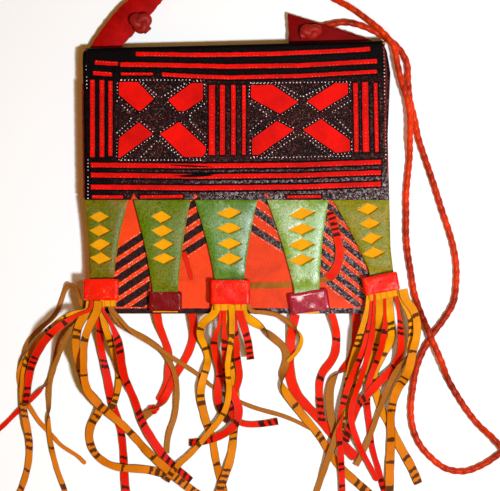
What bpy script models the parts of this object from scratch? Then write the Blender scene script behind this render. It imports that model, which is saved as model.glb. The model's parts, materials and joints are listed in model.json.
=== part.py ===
"""Fringed leather bag with a flap: a flat pouch lying on its back, its flap shut over a striped front.

The flap's lower edge is cut into five tongues. Each tongue has a facing with four windows and goes through
a leather band, and three of the bands also hold the head of a fringe of flat laces. More laces come out of
the bottom seam. Two ears at the top hold the knots of a long braided strap.
"""
import math
from collections import namedtuple

import bmesh
import bpy
import numpy as np
from mathutils import Matrix, Vector

MM = 0.001

# Pouch
BAG_WIDTH = 196 * MM
BAG_HEIGHT = 174.5 * MM
BAG_LEAN = 0.0243  # the sides lean this much to the right going down
TOP_RISE = 4.9 * MM  # the right end of the top edge lies this much further up than the left end
BACK_THICKNESS = 1.8 * MM
SPINE_THICKNESS = 1.6 * MM
POCKET_DEPTH = 8 * MM
FRONT_THICKNESS = 1.6 * MM
MOUTH = 12 * MM  # from the spine to the top edge of the front panel
GUSSET_THICKNESS = 1.8 * MM
GUSSET_INSET = 1.0 * MM
GAP = 0.3 * MM

# Flap, tongues and bands
FLAP_THICKNESS = 1.4 * MM
NOSE_THICKNESS = 0.6 * MM
FLAP_EDGE_Y = -13.3 * MM
NOTCH_RISE = 5.5 * MM
TONGUE_ROWS = 5
TONGUE_WAIST = 1.0 * MM
FACING_THICKNESS = 0.8 * MM
FACING_MARGIN = 0.4 * MM
WINDOW_WIDTH = 13 * MM
WINDOW_HEIGHT = 6.6 * MM
WINDOW_COUNT = 4
BAND_WALL = 1.0 * MM
LIFT_RUN = 5 * MM  # length over which a tongue rises to go into its band
LIFT_PER_TURN = 0.2 * MM  # how much sooner it rises for each degree that its band is turned
FACING_SHORTFALL = 1.0 * MM  # from the end of a facing to the end of its tongue
BAND_CORNER = 1.6 * MM
HEAD_THICKNESS = 4.6 * MM
HEAD_REACH = 4.0 * MM
HEAD_SIDE_CLEARANCE = 0.6 * MM
HEAD_TUCK = 1.0 * MM

# Strap, ears and knots
STRAP_DIAMETER = 4.4 * MM
STRAP_POINT_STEP = 12.5 * MM
STRAP_JOIN_POINTS = 2  # where the two laid stretches of the strap meet at one height
EAR_THICKNESS = 1.6 * MM
EAR_HOLE_CLEARANCE = 0.5 * MM
KNOT_HEIGHT = 6.0 * MM
# The side of a knot, as shares of its radius and of its height
KNOT_PROFILE = ((0.5, 0.9), (0.88, 0.6), (1.0, 0.3), (0.9, 0.0))
ROUND_SEGMENTS = 16
CREASE_ANGLE = math.radians(50)
STRAP_CENTRE = STRAP_DIAMETER / 2 + 0.05 * MM

# Laces
LACE_WIDTH = 5.6 * MM
LACE_THIN = 3.0 * MM
LACE_BROAD = 7.0 * MM
LACE_THICKNESS = 1.0 * MM
LACE_POINT_STEP = 7.0 * MM
LACE_REST = 0.15 * MM  # a lace's underside over a bare surface
SEAM_LACE_START = 5.0 * MM
MAX_SLOPE = 0.8
CURVE_STEPS = 24  # points that a route is drawn with between two of its own points

# Height field that the laces are laid on
CELL = 0.75 * MM
FIELD_LOW = (-190 * MM, -240 * MM)
FIELD_HIGH = (215 * MM, 160 * MM)
LAY_MARGIN = 0.75 * MM
DENSE_STEP = 0.75 * MM

# Heights that follow from the sizes above
FRONT_LOW = BACK_THICKNESS + POCKET_DEPTH + 2 * GAP
FRONT_TOP = FRONT_LOW + FRONT_THICKNESS
FLAP_LOW = FRONT_TOP + GAP
FLAP_TOP = FLAP_LOW + FLAP_THICKNESS
FACING_LOW = FLAP_TOP + GAP
TONGUE_LIFT = BAND_WALL + GAP
HEAD_LOW = FACING_LOW + FACING_THICKNESS + TONGUE_LIFT + GAP
HINGE_Z = (FLAP_LOW + FLAP_TOP) / 2
HINGE_SETBACK = FLAP_THICKNESS / 2
EAR_LOW = STRAP_DIAMETER + 0.4 * MM
V_TOP = BAG_HEIGHT / 2
V_BOTTOM = -BAG_HEIGHT / 2

Tongue = namedtuple("Tongue", "left right end_x end_width end_y band_x band_y band_width band_length turn "
                              "fringe window_first window_last")
TONGUES = [
    Tongue(-98.0, -71.6, -88.6, 15.0, -76.0, -88.9, -71.5, 22.8, 13.7, 0, "left",
           (-89.8, -24.4), (-89.2, -51.4)),
    Tongue(-68.0, -31.0, -47.3, 16.3, -86.3, -47.3, -79.3, 21.5, 12.4, 0, "", (-49.5, -24.4), (-47.9, -51.4)),
    Tongue(-28.4, 12.6, -5.6, 19.0, -79.0, -5.1, -73.1, 25.6, 15.6, 0, "middle",
           (-5.6, -21.8), (-5.3, -51.7)),
    Tongue(18.7, 58.8, 44.5, 16.4, -87.0, 46.0, -79.4, 26.0, 13.5, 9, "", (41.5, -22.4), (41.0, -52.3)),
    Tongue(61.4, 98.2, 93.0, 15.6, -70.5, 92.4, -67.6, 23.2, 11.5, 11, "right", (84.4, -19.2), (88.0, -47.8)),
]

# Lace routes over the surface that the bag lies on, in millimetres, in the order in which they are laid
SEAM_LACES = {
    "lace_seam_1": [(-53, -88), (-51, -98), (-47, -108), (-45, -116), (-46, -125), (-46, -133),
        (-49, -139), (-52, -145)],
    "lace_seam_2": [(-30, -88), (-29, -99), (-31, -109), (-35, -118), (-40, -126), (-44, -134),
        (-47, -141), (-53, -149), (-60, -153), (-65, -159)],
    "lace_seam_3": [(37, -89), (35, -99), (34, -111), (33, -119), (34, -128), (37, -138), (42, -145),
        (51, -154), (59, -163), (67, -172), (77, -182)],
    "lace_seam_4": [(61, -88), (64, -98), (64, -111), (62, -118), (58, -122), (54, -128), (53, -138),
        (54, -151), (55, -158)],
    "lace_seam_5": [(77, -88), (77, -101), (75, -114), (70, -123), (63, -128), (60, -136), (60, -151),
        (63, -166)],
}
FRINGE_LACES = {
    "lace_left_1": [(-100, -84), (-102.6, -79), (-103.8, -73.5), (-106, -69), (-109.5, -67.5),
        (-113, -71), (-116, -80), (-121, -90), (-131, -98), (-139, -108), (-142, -118), (-144, -127),
        (-142, -139), (-137, -148), (-130, -159), (-124, -165), (-115, -175), (-106, -180), (-100, -186)],
    "lace_left_5": [(-96, -87), (-105, -91), (-113, -97), (-118, -108), (-120, -119), (-122, -128),
        (-127, -135), (-135, -143), (-146, -153), (-155, -162), (-164, -169)],
    "lace_left_8": [(-89.5, -84), (-90, -96), (-90, -111), (-87, -124), (-85, -134), (-83, -146),
        (-78, -159), (-76, -170), (-75, -182), (-74, -202), (-72, -211)],
    "lace_left_11": [(-83, -84), (-79, -91), (-73, -97), (-64, -102), (-53, -109), (-46, -117),
        (-41, -128), (-40, -139), (-42, -156), (-46, -167), (-47, -179)],
    "lace_left_4": [(-96, -85), (-101, -90), (-108, -97), (-114, -108), (-120, -121), (-123, -130),
        (-124, -148), (-124, -163), (-122, -176), (-119, -189), (-114, -202), (-111, -211)],
    "lace_left_9": [(-89, -84), (-86, -96), (-82, -108), (-79, -121), (-78, -130), (-79, -139),
        (-83, -150)],
    "lace_left_12": [(-82.5, -84), (-77, -90), (-70, -98), (-57, -107), (-45, -115), (-28, -126),
        (-15, -137), (-2, -144), (13, -150), (28, -154), (40, -159), (51, -165)],
    "lace_left_6": [(-95.5, -85), (-101, -90), (-104, -97), (-105, -111), (-103, -124), (-99, -138),
        (-92, -145), (-89, -150), (-95, -157), (-98, -167), (-95, -178), (-89, -184), (-80, -188),
        (-68, -189), (-57, -190), (-48, -193)],
    "lace_left_10": [(-88.5, -84), (-82, -94), (-77, -108), (-76, -119), (-74, -130), (-70, -139),
        (-66, -149), (-63, -158), (-55, -172), (-46, -184), (-38, -191), (-31, -197)],
    "lace_left_2": [(-97, -86), (-103, -86), (-111, -89), (-124, -99), (-135, -111), (-140, -123),
        (-141, -134), (-141, -146), (-139, -158), (-137, -170), (-137, -182), (-139, -193),
        (-142, -202), (-146, -211)],
    "lace_left_7": [(-90.5, -84), (-94, -91), (-99, -102), (-100, -118), (-100, -130), (-98, -139),
        (-91, -147), (-85, -152), (-77, -159), (-69, -167), (-62, -175), (-47, -189), (-33, -201),
        (-22, -208)],
    "lace_left_3": [(-95, -85), (-102, -87), (-111, -92), (-118, -97), (-125, -104), (-130, -111),
        (-135, -121), (-137, -130), (-138, -139), (-139, -146)],
    "lace_middle_1": [(-15, -87.5), (-21, -91), (-25, -97), (-24, -105), (-20, -112), (-20, -120),
        (-23, -130), (-25, -141), (-23, -151), (-21, -159), (-17, -169), (-15, -182), (-12, -194),
        (-10, -202), (-9, -211)],
    "lace_middle_3": [(-6, -86), (-6, -94), (-6, -109), (-5, -124), (-2, -136), (-2, -152), (-3, -167),
        (-5, -182), (-9, -194), (-12, -202), (-15, -211)],
    "lace_middle_8": [(3.5, -88), (11, -93), (17, -98), (25, -105), (32, -112), (31, -121), (28, -130),
        (30, -138), (36, -146), (43, -155), (53, -167), (59, -177), (65, -186), (74, -195), (82, -202),
        (90, -209)],
    "lace_middle_2": [(-11, -86), (-12, -94), (-16, -106), (-14, -117), (-12, -126), (-13, -136),
        (-14, -143), (-11, -151), (-6, -158)],
    "lace_middle_5": [(-2, -86), (-1, -98), (-1, -114), (1, -130), (-4, -143), (-5, -152), (1, -159),
        (13, -160), (26, -158)],
    "lace_middle_9": [(8, -86), (14, -86), (21, -87), (27, -88.5), (32.5, -92.5), (38, -98), (42, -104),
        (39, -112), (32, -119)],
    "lace_middle_4": [(-9, -86), (-9, -98), (-8, -117), (-7, -134), (0, -147), (-1, -159), (-11, -167),
        (-22, -171), (-32, -172)],
    "lace_middle_7": [(0.5, -86), (4, -96), (7, -108), (8, -117)],
    "lace_middle_6": [(-4, -86), (-4, -101), (-7, -121), (-6, -137), (-9, -152), (-19, -165),
        (-31, -179), (-41, -188), (-47, -197)],
    "lace_right_1": [(86, -83), (83, -93), (80, -105), (75, -120), (72, -136)],
    "lace_right_2": [(92, -82), (92, -92), (91, -104), (89, -113), (83, -124), (79, -133), (72, -145),
        (68, -156), (66, -165)],
    "lace_right_3": [(98, -80), (99, -92), (100, -102), (97, -110), (92, -118), (88, -128), (90, -137),
        (93, -149), (99, -160), (105, -173), (114, -189), (118, -199)],
    "lace_right_4": [(84, -83), (79, -101), (73, -124), (69, -143), (65, -163), (59, -181), (55, -193),
        (52, -202), (49, -210)],
    "lace_right_7": [(95, -81), (95, -98), (92, -114), (86, -130), (84, -143), (85, -153), (86, -163),
        (88, -177), (92, -190), (95, -202), (99, -210)],
    "lace_right_8": [(103, -80), (105, -94), (106, -109), (104, -119), (99, -126), (92, -132),
        (86, -139), (79, -146), (75, -155), (72, -163), (70, -171)],
    "lace_right_5": [(86, -83), (84, -99), (78, -119), (70, -140), (66, -160), (67, -181), (68, -202),
        (68, -210)],
    "lace_right_9": [(106, -79), (111, -88), (112, -102), (110, -115), (103, -125), (98, -135),
        (94, -146), (90, -157), (84, -173), (77, -187)],
    "lace_right_6": [(88, -82), (87, -99), (83, -117), (77, -138), (73, -152), (75, -163), (80, -176),
        (87, -189), (91, -197)],
    "lace_right_10": [(108, -78), (114, -85), (116, -98), (113, -112), (110, -126), (103, -138),
        (100, -150), (100, -170), (99, -190), (99, -202), (99, -211)],
}
THIN_LACES = ("lace_left_1", "lace_left_12")
BROAD_LACES = ("lace_seam_3",)
# The strap from its right knot down to the turn of its loop, then back up, over itself, to its left knot
STRAP_DOWN = [
    (47, 97), (54, 100), (66, 103), (78, 102), (87, 98), (93, 95), (100, 91), (106, 85), (110, 78),
    (111, 67), (112, 54), (115, 42), (118, 27), (124, 9), (129, -6), (134, -22), (139, -37), (142, -50),
    (143, -64), (142, -72), (140, -83), (134, -92), (128, -100), (123, -108), (117, -122), (114, -139),
    (113, -155), (116, -167), (122, -178), (131, -185), (138, -190), (145, -191), (155, -189),
    (164, -184), (170.5, -179.5), (177, -173.5), (184, -168.5), (191, -169)
]
STRAP_UP = [
    (196, -175), (193, -182), (186, -185), (178.5, -181), (170, -173), (164, -166), (155, -158),
    (146, -145), (138, -132), (132, -117), (125, -101), (119, -86), (116, -78), (114, -67), (112, -54),
    (110, -41), (110, -28), (110, -7), (112, 13), (112, 33), (112, 45), (109, 57), (106, 66), (104, 75),
    (102.5, 84), (99, 92), (91, 99), (77, 110), (62, 119), (43, 130), (21, 137), (-2, 140), (-25, 138),
    (-43, 132), (-56, 123), (-62, 114), (-66, 105.5)
]
# Ear outlines, in millimetres: x and the distance above the bag's top edge, round the ear
EAR_LEFT = [(-96.5, 0), (-77, 0), (-49.5, 30.6), (-41, 39), (-52, 46), (-62.5, 39)]
EAR_RIGHT = [(33, 0), (91.0, 0), (61, 11.0), (32.4, 20.0)]
KNOT_LEFT = (-67, 102.5)
KNOT_RIGHT = (47.5, 96.6)
KNOT_LEFT_SIZE = (15.6 * MM, 15.0 * MM)
KNOT_RIGHT_SIZE = (15.6 * MM, 11.0 * MM)


def on_bag(u, v):
    """Place a point of the straight pattern, u across and v up, on the slightly skewed bag."""
    rise = TOP_RISE * (u / BAG_WIDTH) * (v - V_BOTTOM) / BAG_HEIGHT
    return (u - BAG_LEAN * v, v + rise)


def top_edge_y(x):
    """Height of the bag's top edge above a place along it."""
    return V_TOP + TOP_RISE * (x + BAG_LEAN * V_TOP) / BAG_WIDTH


def leather(name, colour, roughness=0.55):
    """A plain leather material in the colour of the piece."""
    material = bpy.data.materials.new(name)
    material.use_nodes = True
    shader = material.node_tree.nodes["Principled BSDF"]
    shader.inputs["Base Color"].default_value = (*colour, 1.0)
    shader.inputs["Roughness"].default_value = roughness
    material.diffuse_color = (*colour, 1.0)
    return material


def add_object(name, mesh, material, parent=None):
    """Link a mesh as a named object, and hang it on its joint's empty if it moves."""
    piece = bpy.data.objects.new(name, mesh)
    bpy.context.scene.collection.objects.link(piece)
    piece.data.materials.append(material)
    if parent is not None:
        piece.parent = parent
        piece.matrix_parent_inverse = parent.matrix_world.inverted()
    return piece


def mesh_from(name, corners, faces):
    """A mesh from corners and faces, with its faces pointing out."""
    mesh = bpy.data.meshes.new(name)
    mesh.from_pydata(corners, [], faces)
    shape = bmesh.new()
    shape.from_mesh(mesh)
    bmesh.ops.recalc_face_normals(shape, faces=shape.faces)
    shape.to_mesh(mesh)
    shape.free()
    return mesh


def plate(name, points, faces, material, parent=None):
    """A sheet of leather with an underside and a top.

    points are (x, y, low, high) and faces are lists of point numbers, anticlockwise from above.
    """
    count = len(points)
    corners = [(x, y, high) for x, y, low, high in points] + [(x, y, low) for x, y, low, high in points]
    solid = [list(face) for face in faces] + [[i + count for i in reversed(face)] for face in faces]
    edges = {(face[i], face[(i + 1) % len(face)]) for face in faces for i in range(len(face))}
    for a, b in edges:
        if (b, a) not in edges:
            solid.append([b, a, a + count, b + count])
    return add_object(name, mesh_from(name, corners, solid), material, parent)


def prism(name, outline, low, high, material, parent=None):
    """A flat piece with one outline, from one height to another."""
    points = [(x, y, low, high) for x, y in outline]
    return plate(name, points, [list(range(len(points)))], material, parent)


def add_pouch(dark, red):
    """The back panel with its spine, the gusset round three sides, and the front panel."""
    half = BAG_WIDTH / 2
    profile = [(V_BOTTOM, 0), (V_TOP, 0), (V_TOP, FRONT_TOP), (V_TOP - SPINE_THICKNESS, FRONT_TOP),
               (V_TOP - SPINE_THICKNESS, BACK_THICKNESS), (V_BOTTOM, BACK_THICKNESS)]
    corners = [(*on_bag(side, v), z) for side in (-half, half) for v, z in profile]
    count = len(profile)
    faces = [[i, (i + 1) % count, (i + 1) % count + count, i + count] for i in range(count)]
    faces += [list(range(count)), [i + count for i in reversed(range(count))]]
    add_object("back_panel", mesh_from("back_panel", corners, faces), dark)

    outer = half - GUSSET_INSET
    inner = outer - GUSSET_THICKNESS
    top = V_TOP - SPINE_THICKNESS - GAP
    bottom = V_BOTTOM + GUSSET_INSET
    path = [(-outer, top), (-outer, bottom), (outer, bottom), (outer, top), (inner, top),
            (inner, bottom + GUSSET_THICKNESS), (-inner, bottom + GUSSET_THICKNESS), (-inner, top)]
    points = [(*on_bag(u, v), BACK_THICKNESS + GAP, FRONT_LOW - GAP) for u, v in path]
    plate("gusset", points, [[0, 1, 6, 7], [1, 2, 5, 6], [2, 3, 4, 5]], red)

    mouth_edge = V_TOP - SPINE_THICKNESS - MOUTH
    corners = ((-half, V_BOTTOM), (half, V_BOTTOM), (half, mouth_edge), (-half, mouth_edge))
    outline = [on_bag(u, v) for u, v in corners]
    prism("front_panel", outline, FRONT_LOW, FRONT_TOP, red)


def tongue_rows(tongue, margin, end_y, low, high):
    """Left and right points down a tongue, which rises before its band."""
    band_top = (tongue.band_y + tongue.band_length / 2) * MM + LIFT_PER_TURN * abs(tongue.turn)
    lift_start = band_top + LIFT_RUN
    levels = [FLAP_EDGE_Y + (lift_start - FLAP_EDGE_Y) * i / TONGUE_ROWS for i in range(TONGUE_ROWS + 1)]
    levels += [band_top, end_y]
    rows = []
    for y in levels:
        share = min(1.0, (y - FLAP_EDGE_Y) / (band_top - FLAP_EDGE_Y))
        waist = TONGUE_WAIST * math.sin(math.pi * share) + margin
        left = tongue.left * MM * (1 - share) + (tongue.end_x - tongue.end_width / 2) * MM * share + waist
        right = tongue.right * MM * (1 - share) + (tongue.end_x + tongue.end_width / 2) * MM * share - waist
        lift = TONGUE_LIFT if y <= band_top else 0
        rows.append(((left, y, low + lift, high + lift), (right, y, low + lift, high + lift)))
    return rows


def add_flap(dark, hinge):
    """The flap and its five tongues, cut from one sheet, with a rounded edge along the hinge."""
    half = BAG_WIDTH / 2
    points = []
    for v, thickness in ((V_TOP, NOSE_THICKNESS), (V_TOP - HINGE_SETBACK, FLAP_THICKNESS)):
        for u in (-half, half):
            points.append((*on_bag(u, v), HINGE_Z - thickness / 2, HINGE_Z + thickness / 2))
    faces = [[0, 2, 3, 1]]
    lower_edge = []
    for number, tongue in enumerate(TONGUES):
        if number:
            notch_x = (TONGUES[number - 1].right + tongue.left) / 2 * MM
            points.append((notch_x, FLAP_EDGE_Y + NOTCH_RISE, FLAP_LOW, FLAP_TOP))
            lower_edge.append(len(points) - 1)
        rows = tongue_rows(tongue, 0, tongue.end_y * MM, FLAP_LOW, FLAP_TOP)
        first = len(points)
        for left, right in rows:
            points += [left, right]
        lower_edge += [first, first + 1]
        for i in range(first, first + 2 * len(rows) - 2, 2):
            faces.append([i, i + 2, i + 3, i + 1])
    faces.append([2] + lower_edge + [3])
    plate("flap", points, faces, dark, hinge)


def add_facing(number, tongue, green, hinge):
    """The facing on one tongue, with its row of diamond windows cut through."""
    end_y = tongue.end_y * MM + FACING_SHORTFALL
    rows = tongue_rows(tongue, FACING_MARGIN, end_y, FACING_LOW, FACING_LOW + FACING_THICKNESS)
    points = [point for row in rows for point in row]
    faces = [[i, i + 2, i + 3, i + 1] for i in range(0, len(points) - 2, 2)]
    facing = plate(f"tongue_facing_{number}", points, faces, green, hinge)
    corners = []
    faces = []
    for i in range(WINDOW_COUNT):
        share = i / (WINDOW_COUNT - 1)
        x = (tongue.window_first[0] * (1 - share) + tongue.window_last[0] * share) * MM
        y = (tongue.window_first[1] * (1 - share) + tongue.window_last[1] * share) * MM
        first = len(corners)
        for z in (FACING_LOW - GAP, FACING_LOW + FACING_THICKNESS + GAP):
            corners += [(x - WINDOW_WIDTH / 2, y, z), (x, y - WINDOW_HEIGHT / 2, z),
                        (x + WINDOW_WIDTH / 2, y, z), (x, y + WINDOW_HEIGHT / 2, z)]
        faces += [[first + k for k in (3, 2, 1, 0)], [first + k for k in (4, 5, 6, 7)]]
        faces += [[first + k, first + (k + 1) % 4, first + (k + 1) % 4 + 4, first + k + 4] for k in range(4)]
    cutter = add_object(f"windows_{number}", mesh_from(f"windows_{number}", corners, faces), green, hinge)
    cutter.hide_render = True
    cutter.display_type = "WIRE"
    cut = facing.modifiers.new("windows", "BOOLEAN")
    cut.operation = "DIFFERENCE"
    cut.object = cutter


def rounded_loop(width, height, corner):
    """Points round a rectangle with cut corners, centred on the width and standing on zero."""
    w = width / 2
    return [(-w + corner, 0), (w - corner, 0), (w, corner), (w, height - corner), (w - corner, height),
            (-w + corner, height), (-w, height - corner), (-w, corner)]


def add_band(number, tongue, material, hinge):
    """A leather band closed round the end of one tongue, and round its fringe head if it has one."""
    held = FLAP_THICKNESS + FACING_THICKNESS + 3 * GAP
    if tongue.fringe:
        held += HEAD_THICKNESS + GAP
    width = tongue.band_width * MM
    outer = rounded_loop(width, held + 2 * BAND_WALL, BAND_CORNER)
    inner = [(x, z + BAND_WALL) for x, z in
             rounded_loop(width - 2 * BAND_WALL, held, BAND_CORNER - BAND_WALL)]
    half = tongue.band_length * MM / 2
    place = Matrix.Translation((tongue.band_x * MM, tongue.band_y * MM, FLAP_LOW))
    place @= Matrix.Rotation(math.radians(tongue.turn), 4, "Z")
    corners = [place @ Vector((x, y, z)) for y in (-half, half) for loop in (outer, inner) for x, z in loop]
    count = len(outer)
    faces = []
    for i in range(count):
        j = (i + 1) % count
        faces += [[i, j, j + count, i + count],
                  [i + 2 * count, j + 2 * count, j + 3 * count, i + 3 * count],
                  [i, j, j + 2 * count, i + 2 * count],
                  [i + count, j + count, j + 3 * count, i + 3 * count]]
    add_object(f"band_{number}", mesh_from(f"band_{number}", corners, faces), material, hinge)


def add_fringe_head(tongue, material, hinge):
    """The rolled top of a fringe, held in its band on top of the tongue."""
    half = tongue.band_width * MM / 2 - BAND_WALL - HEAD_SIDE_CLEARANCE
    length = tongue.band_length * MM / 2
    place = Matrix.Translation((tongue.band_x * MM, tongue.band_y * MM, 0))
    place @= Matrix.Rotation(math.radians(tongue.turn), 4, "Z")
    outline = [place @ Vector((x, y, 0)) for x, y in
               ((-half, -length - HEAD_REACH), (half, -length - HEAD_REACH),
                (half, length - HEAD_TUCK), (-half, length - HEAD_TUCK))]
    prism(f"fringe_head_{tongue.fringe}", [(p.x, p.y) for p in outline], HEAD_LOW, HEAD_LOW + HEAD_THICKNESS,
          material, hinge)


def smooth_route(points, step):
    """Points at an even step along a smooth curve through a route's points."""
    p = np.array(points, float) * MM
    p = np.vstack([2 * p[0] - p[1], p, 2 * p[-1] - p[-2]])
    knots = np.concatenate([[0], np.cumsum(np.sqrt(np.linalg.norm(np.diff(p, axis=0), axis=1)))])
    curve = []
    for i in range(1, len(p) - 2):
        t0, t1, t2, t3 = knots[i - 1:i + 3]
        for t in np.linspace(t1, t2, CURVE_STEPS, endpoint=False):
            a1 = (t1 - t) / (t1 - t0) * p[i - 1] + (t - t0) / (t1 - t0) * p[i]
            a2 = (t2 - t) / (t2 - t1) * p[i] + (t - t1) / (t2 - t1) * p[i + 1]
            a3 = (t3 - t) / (t3 - t2) * p[i + 1] + (t - t2) / (t3 - t2) * p[i + 2]
            b1 = (t2 - t) / (t2 - t0) * a1 + (t - t0) / (t2 - t0) * a2
            b2 = (t3 - t) / (t3 - t1) * a2 + (t - t1) / (t3 - t1) * a3
            curve.append((t2 - t) / (t2 - t1) * b1 + (t - t1) / (t2 - t1) * b2)
    curve.append(p[-2])
    curve = np.array(curve)
    along = np.concatenate([[0], np.cumsum(np.linalg.norm(np.diff(curve, axis=0), axis=1))])
    count = max(2, round(along[-1] / step) + 1)
    wanted = np.linspace(0, along[-1], count)
    return np.column_stack([np.interp(wanted, along, curve[:, k]) for k in (0, 1)])


class Surface:
    """How high the things that lie on the ground reach, over a grid of small cells."""

    def __init__(self):
        self.xs = np.arange(FIELD_LOW[0], FIELD_HIGH[0], CELL)
        self.ys = np.arange(FIELD_LOW[1], FIELD_HIGH[1], CELL)
        self.height = np.zeros((len(self.xs), len(self.ys)))

    def disc(self, point, radius):
        """The cells within a radius of a point."""
        i0, i1 = np.searchsorted(self.xs, (point[0] - radius, point[0] + radius))
        j0, j1 = np.searchsorted(self.ys, (point[1] - radius, point[1] + radius))
        dx = self.xs[i0:i1, None] - point[0]
        dy = self.ys[None, j0:j1] - point[1]
        return (slice(i0, i1), slice(j0, j1)), dx * dx + dy * dy <= radius * radius

    def fill(self, inside, height):
        """Raise every cell that a test says is inside an outline."""
        grid_x, grid_y = np.meshgrid(self.xs, self.ys, indexing="ij")
        mask = inside(grid_x, grid_y)
        self.height[mask] = np.maximum(self.height[mask], height)

    def lay(self, route, radius, thickness, step, start=0.0):
        """Heights of a strip's underside at an even step along its route, over all that was laid before.

        The strip's own top is then added, for what is laid later. The strip is returned as its points and
        the heights there.
        """
        dense = smooth_route(route, DENSE_STEP)
        need = np.empty(len(dense))
        for i, point in enumerate(dense):
            cells, near = self.disc(point, radius)
            below = self.height[cells][near].max(initial=0.0)
            need[i] = below + (GAP if below > 0 else LACE_REST)
        need[0] = max(need[0], start)
        along = np.concatenate([[0], np.cumsum(np.linalg.norm(np.diff(dense, axis=0), axis=1))])
        apart = np.abs(along[:, None] - along[None, :])
        envelope = (need[None, :] - MAX_SLOPE * apart).max(axis=1)
        count = max(2, round(along[-1] / step) + 1)
        wanted = np.linspace(0, along[-1], count)
        reach = along[-1] / (count - 1)
        heights = np.array([envelope[np.abs(along - s) <= reach].max() for s in wanted])
        points = np.column_stack([np.interp(wanted, along, dense[:, k]) for k in (0, 1)])
        tops = np.interp(along, wanted, heights) + thickness
        for point, top in zip(dense, tops):
            cells, near = self.disc(point, radius + LAY_MARGIN)
            patch = self.height[cells]
            patch[near] = np.maximum(patch[near], top)
        return points, heights


def add_strip(name, points, heights, width, material, parent=None):
    """One flat lace along its points, its underside at the given heights."""
    corners = []
    for i, (x, y) in enumerate(points):
        before = points[max(i - 1, 0)]
        after = points[min(i + 1, len(points) - 1)]
        along = Vector(after - before).normalized()
        side = Vector((-along.y, along.x)) * width / 2
        low = heights[i]
        high = low + LACE_THICKNESS
        corners += [(x + side.x, y + side.y, low), (x - side.x, y - side.y, low),
                    (x - side.x, y - side.y, high), (x + side.x, y + side.y, high)]
    last = len(corners) - 4
    faces = [[0, 1, 2, 3], [last + 3, last + 2, last + 1, last]]
    for i in range(0, last, 4):
        faces += [[i + k, i + k + 4, i + (k + 1) % 4 + 4, i + (k + 1) % 4] for k in range(4)]
    add_object(name, mesh_from(name, corners, faces), material, parent)


def lace_width(name):
    """Width of a lace: most are alike, two are thin and one is broad."""
    if name in THIN_LACES:
        return LACE_THIN
    if name in BROAD_LACES:
        return LACE_BROAD
    return LACE_WIDTH


def add_laces(seam_leather, fringe_leather, hinge):
    """The laces from the bottom seam, under all the others, and then the three fringes on the flap."""
    surface = Surface()
    for name, route in SEAM_LACES.items():
        width = lace_width(name)
        points, heights = surface.lay(route, width / 2, LACE_THICKNESS, LACE_POINT_STEP, SEAM_LACE_START)
        add_strip(name, points, heights, width, seam_leather)

    def over_bag(x, y):
        u = x + BAG_LEAN * y
        return (np.abs(u) <= BAG_WIDTH / 2) & (y >= V_BOTTOM) & (y <= V_TOP)

    surface.fill(over_bag, FRONT_TOP)
    for name, route in FRINGE_LACES.items():
        width = lace_width(name)
        points, heights = surface.lay(route, width / 2, LACE_THICKNESS, LACE_POINT_STEP, HEAD_LOW)
        add_strip(name, points, heights, width, fringe_leather, hinge)


def add_strap(material):
    """The braided strap: one cord, laid down to its turn and back up over itself."""
    surface = Surface()
    radius = STRAP_DIAMETER / 2
    down, down_low = surface.lay(STRAP_DOWN, radius, STRAP_DIAMETER, STRAP_POINT_STEP)
    up, up_low = surface.lay([STRAP_DOWN[-1]] + STRAP_UP, radius, STRAP_DIAMETER, STRAP_POINT_STEP)
    up_low[:STRAP_JOIN_POINTS] = down_low[-1]
    points = np.vstack([down, up[1:]])
    lows = np.concatenate([down_low, up_low[1:]]) - LACE_REST
    curve = bpy.data.curves.new("strap", "CURVE")
    curve.dimensions = "3D"
    curve.bevel_depth = radius
    curve.bevel_resolution = 2
    curve.use_fill_caps = True
    spline = curve.splines.new("POLY")
    spline.points.add(len(points) - 1)
    for place, (x, y), low in zip(spline.points, points, lows):
        place.co = (x, y, max(low + radius, STRAP_CENTRE), 1)
    add_object("strap", curve, material)


def turned(name, centre, size, profile, material):
    """A closed piece turned about an upright axis, drawn out to an oval.

    profile is a list of (share of the radius, height, round), from the top of the axis to its foot. The
    last value is 1 where the ring keeps the true radius of a stem instead of the oval.
    """
    corners = [(centre[0], centre[1], profile[0][1])]
    for radius, z, stem in profile[1:-1]:
        for i in range(ROUND_SEGMENTS):
            angle = 2 * math.pi * i / ROUND_SEGMENTS
            rx = radius if stem else radius * size[0] / 2
            ry = radius if stem else radius * size[1] / 2
            corners.append((centre[0] + rx * math.cos(angle), centre[1] + ry * math.sin(angle), z))
    corners.append((centre[0], centre[1], profile[-1][1]))
    rings = len(profile) - 2
    faces = []
    for i in range(ROUND_SEGMENTS):
        j = (i + 1) % ROUND_SEGMENTS
        faces.append([0, 1 + i, 1 + j])
        for ring in range(rings - 1):
            low = 1 + ring * ROUND_SEGMENTS
            high = low + ROUND_SEGMENTS
            faces.append([low + i, high + i, high + j, low + j])
        low = 1 + (rings - 1) * ROUND_SEGMENTS
        faces.append([len(corners) - 1, low + j, low + i])
    mesh = mesh_from(name, corners, faces)
    mesh.shade_smooth()
    mesh.set_sharp_from_angle(angle=CREASE_ANGLE)
    return add_object(name, mesh, material)


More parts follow.
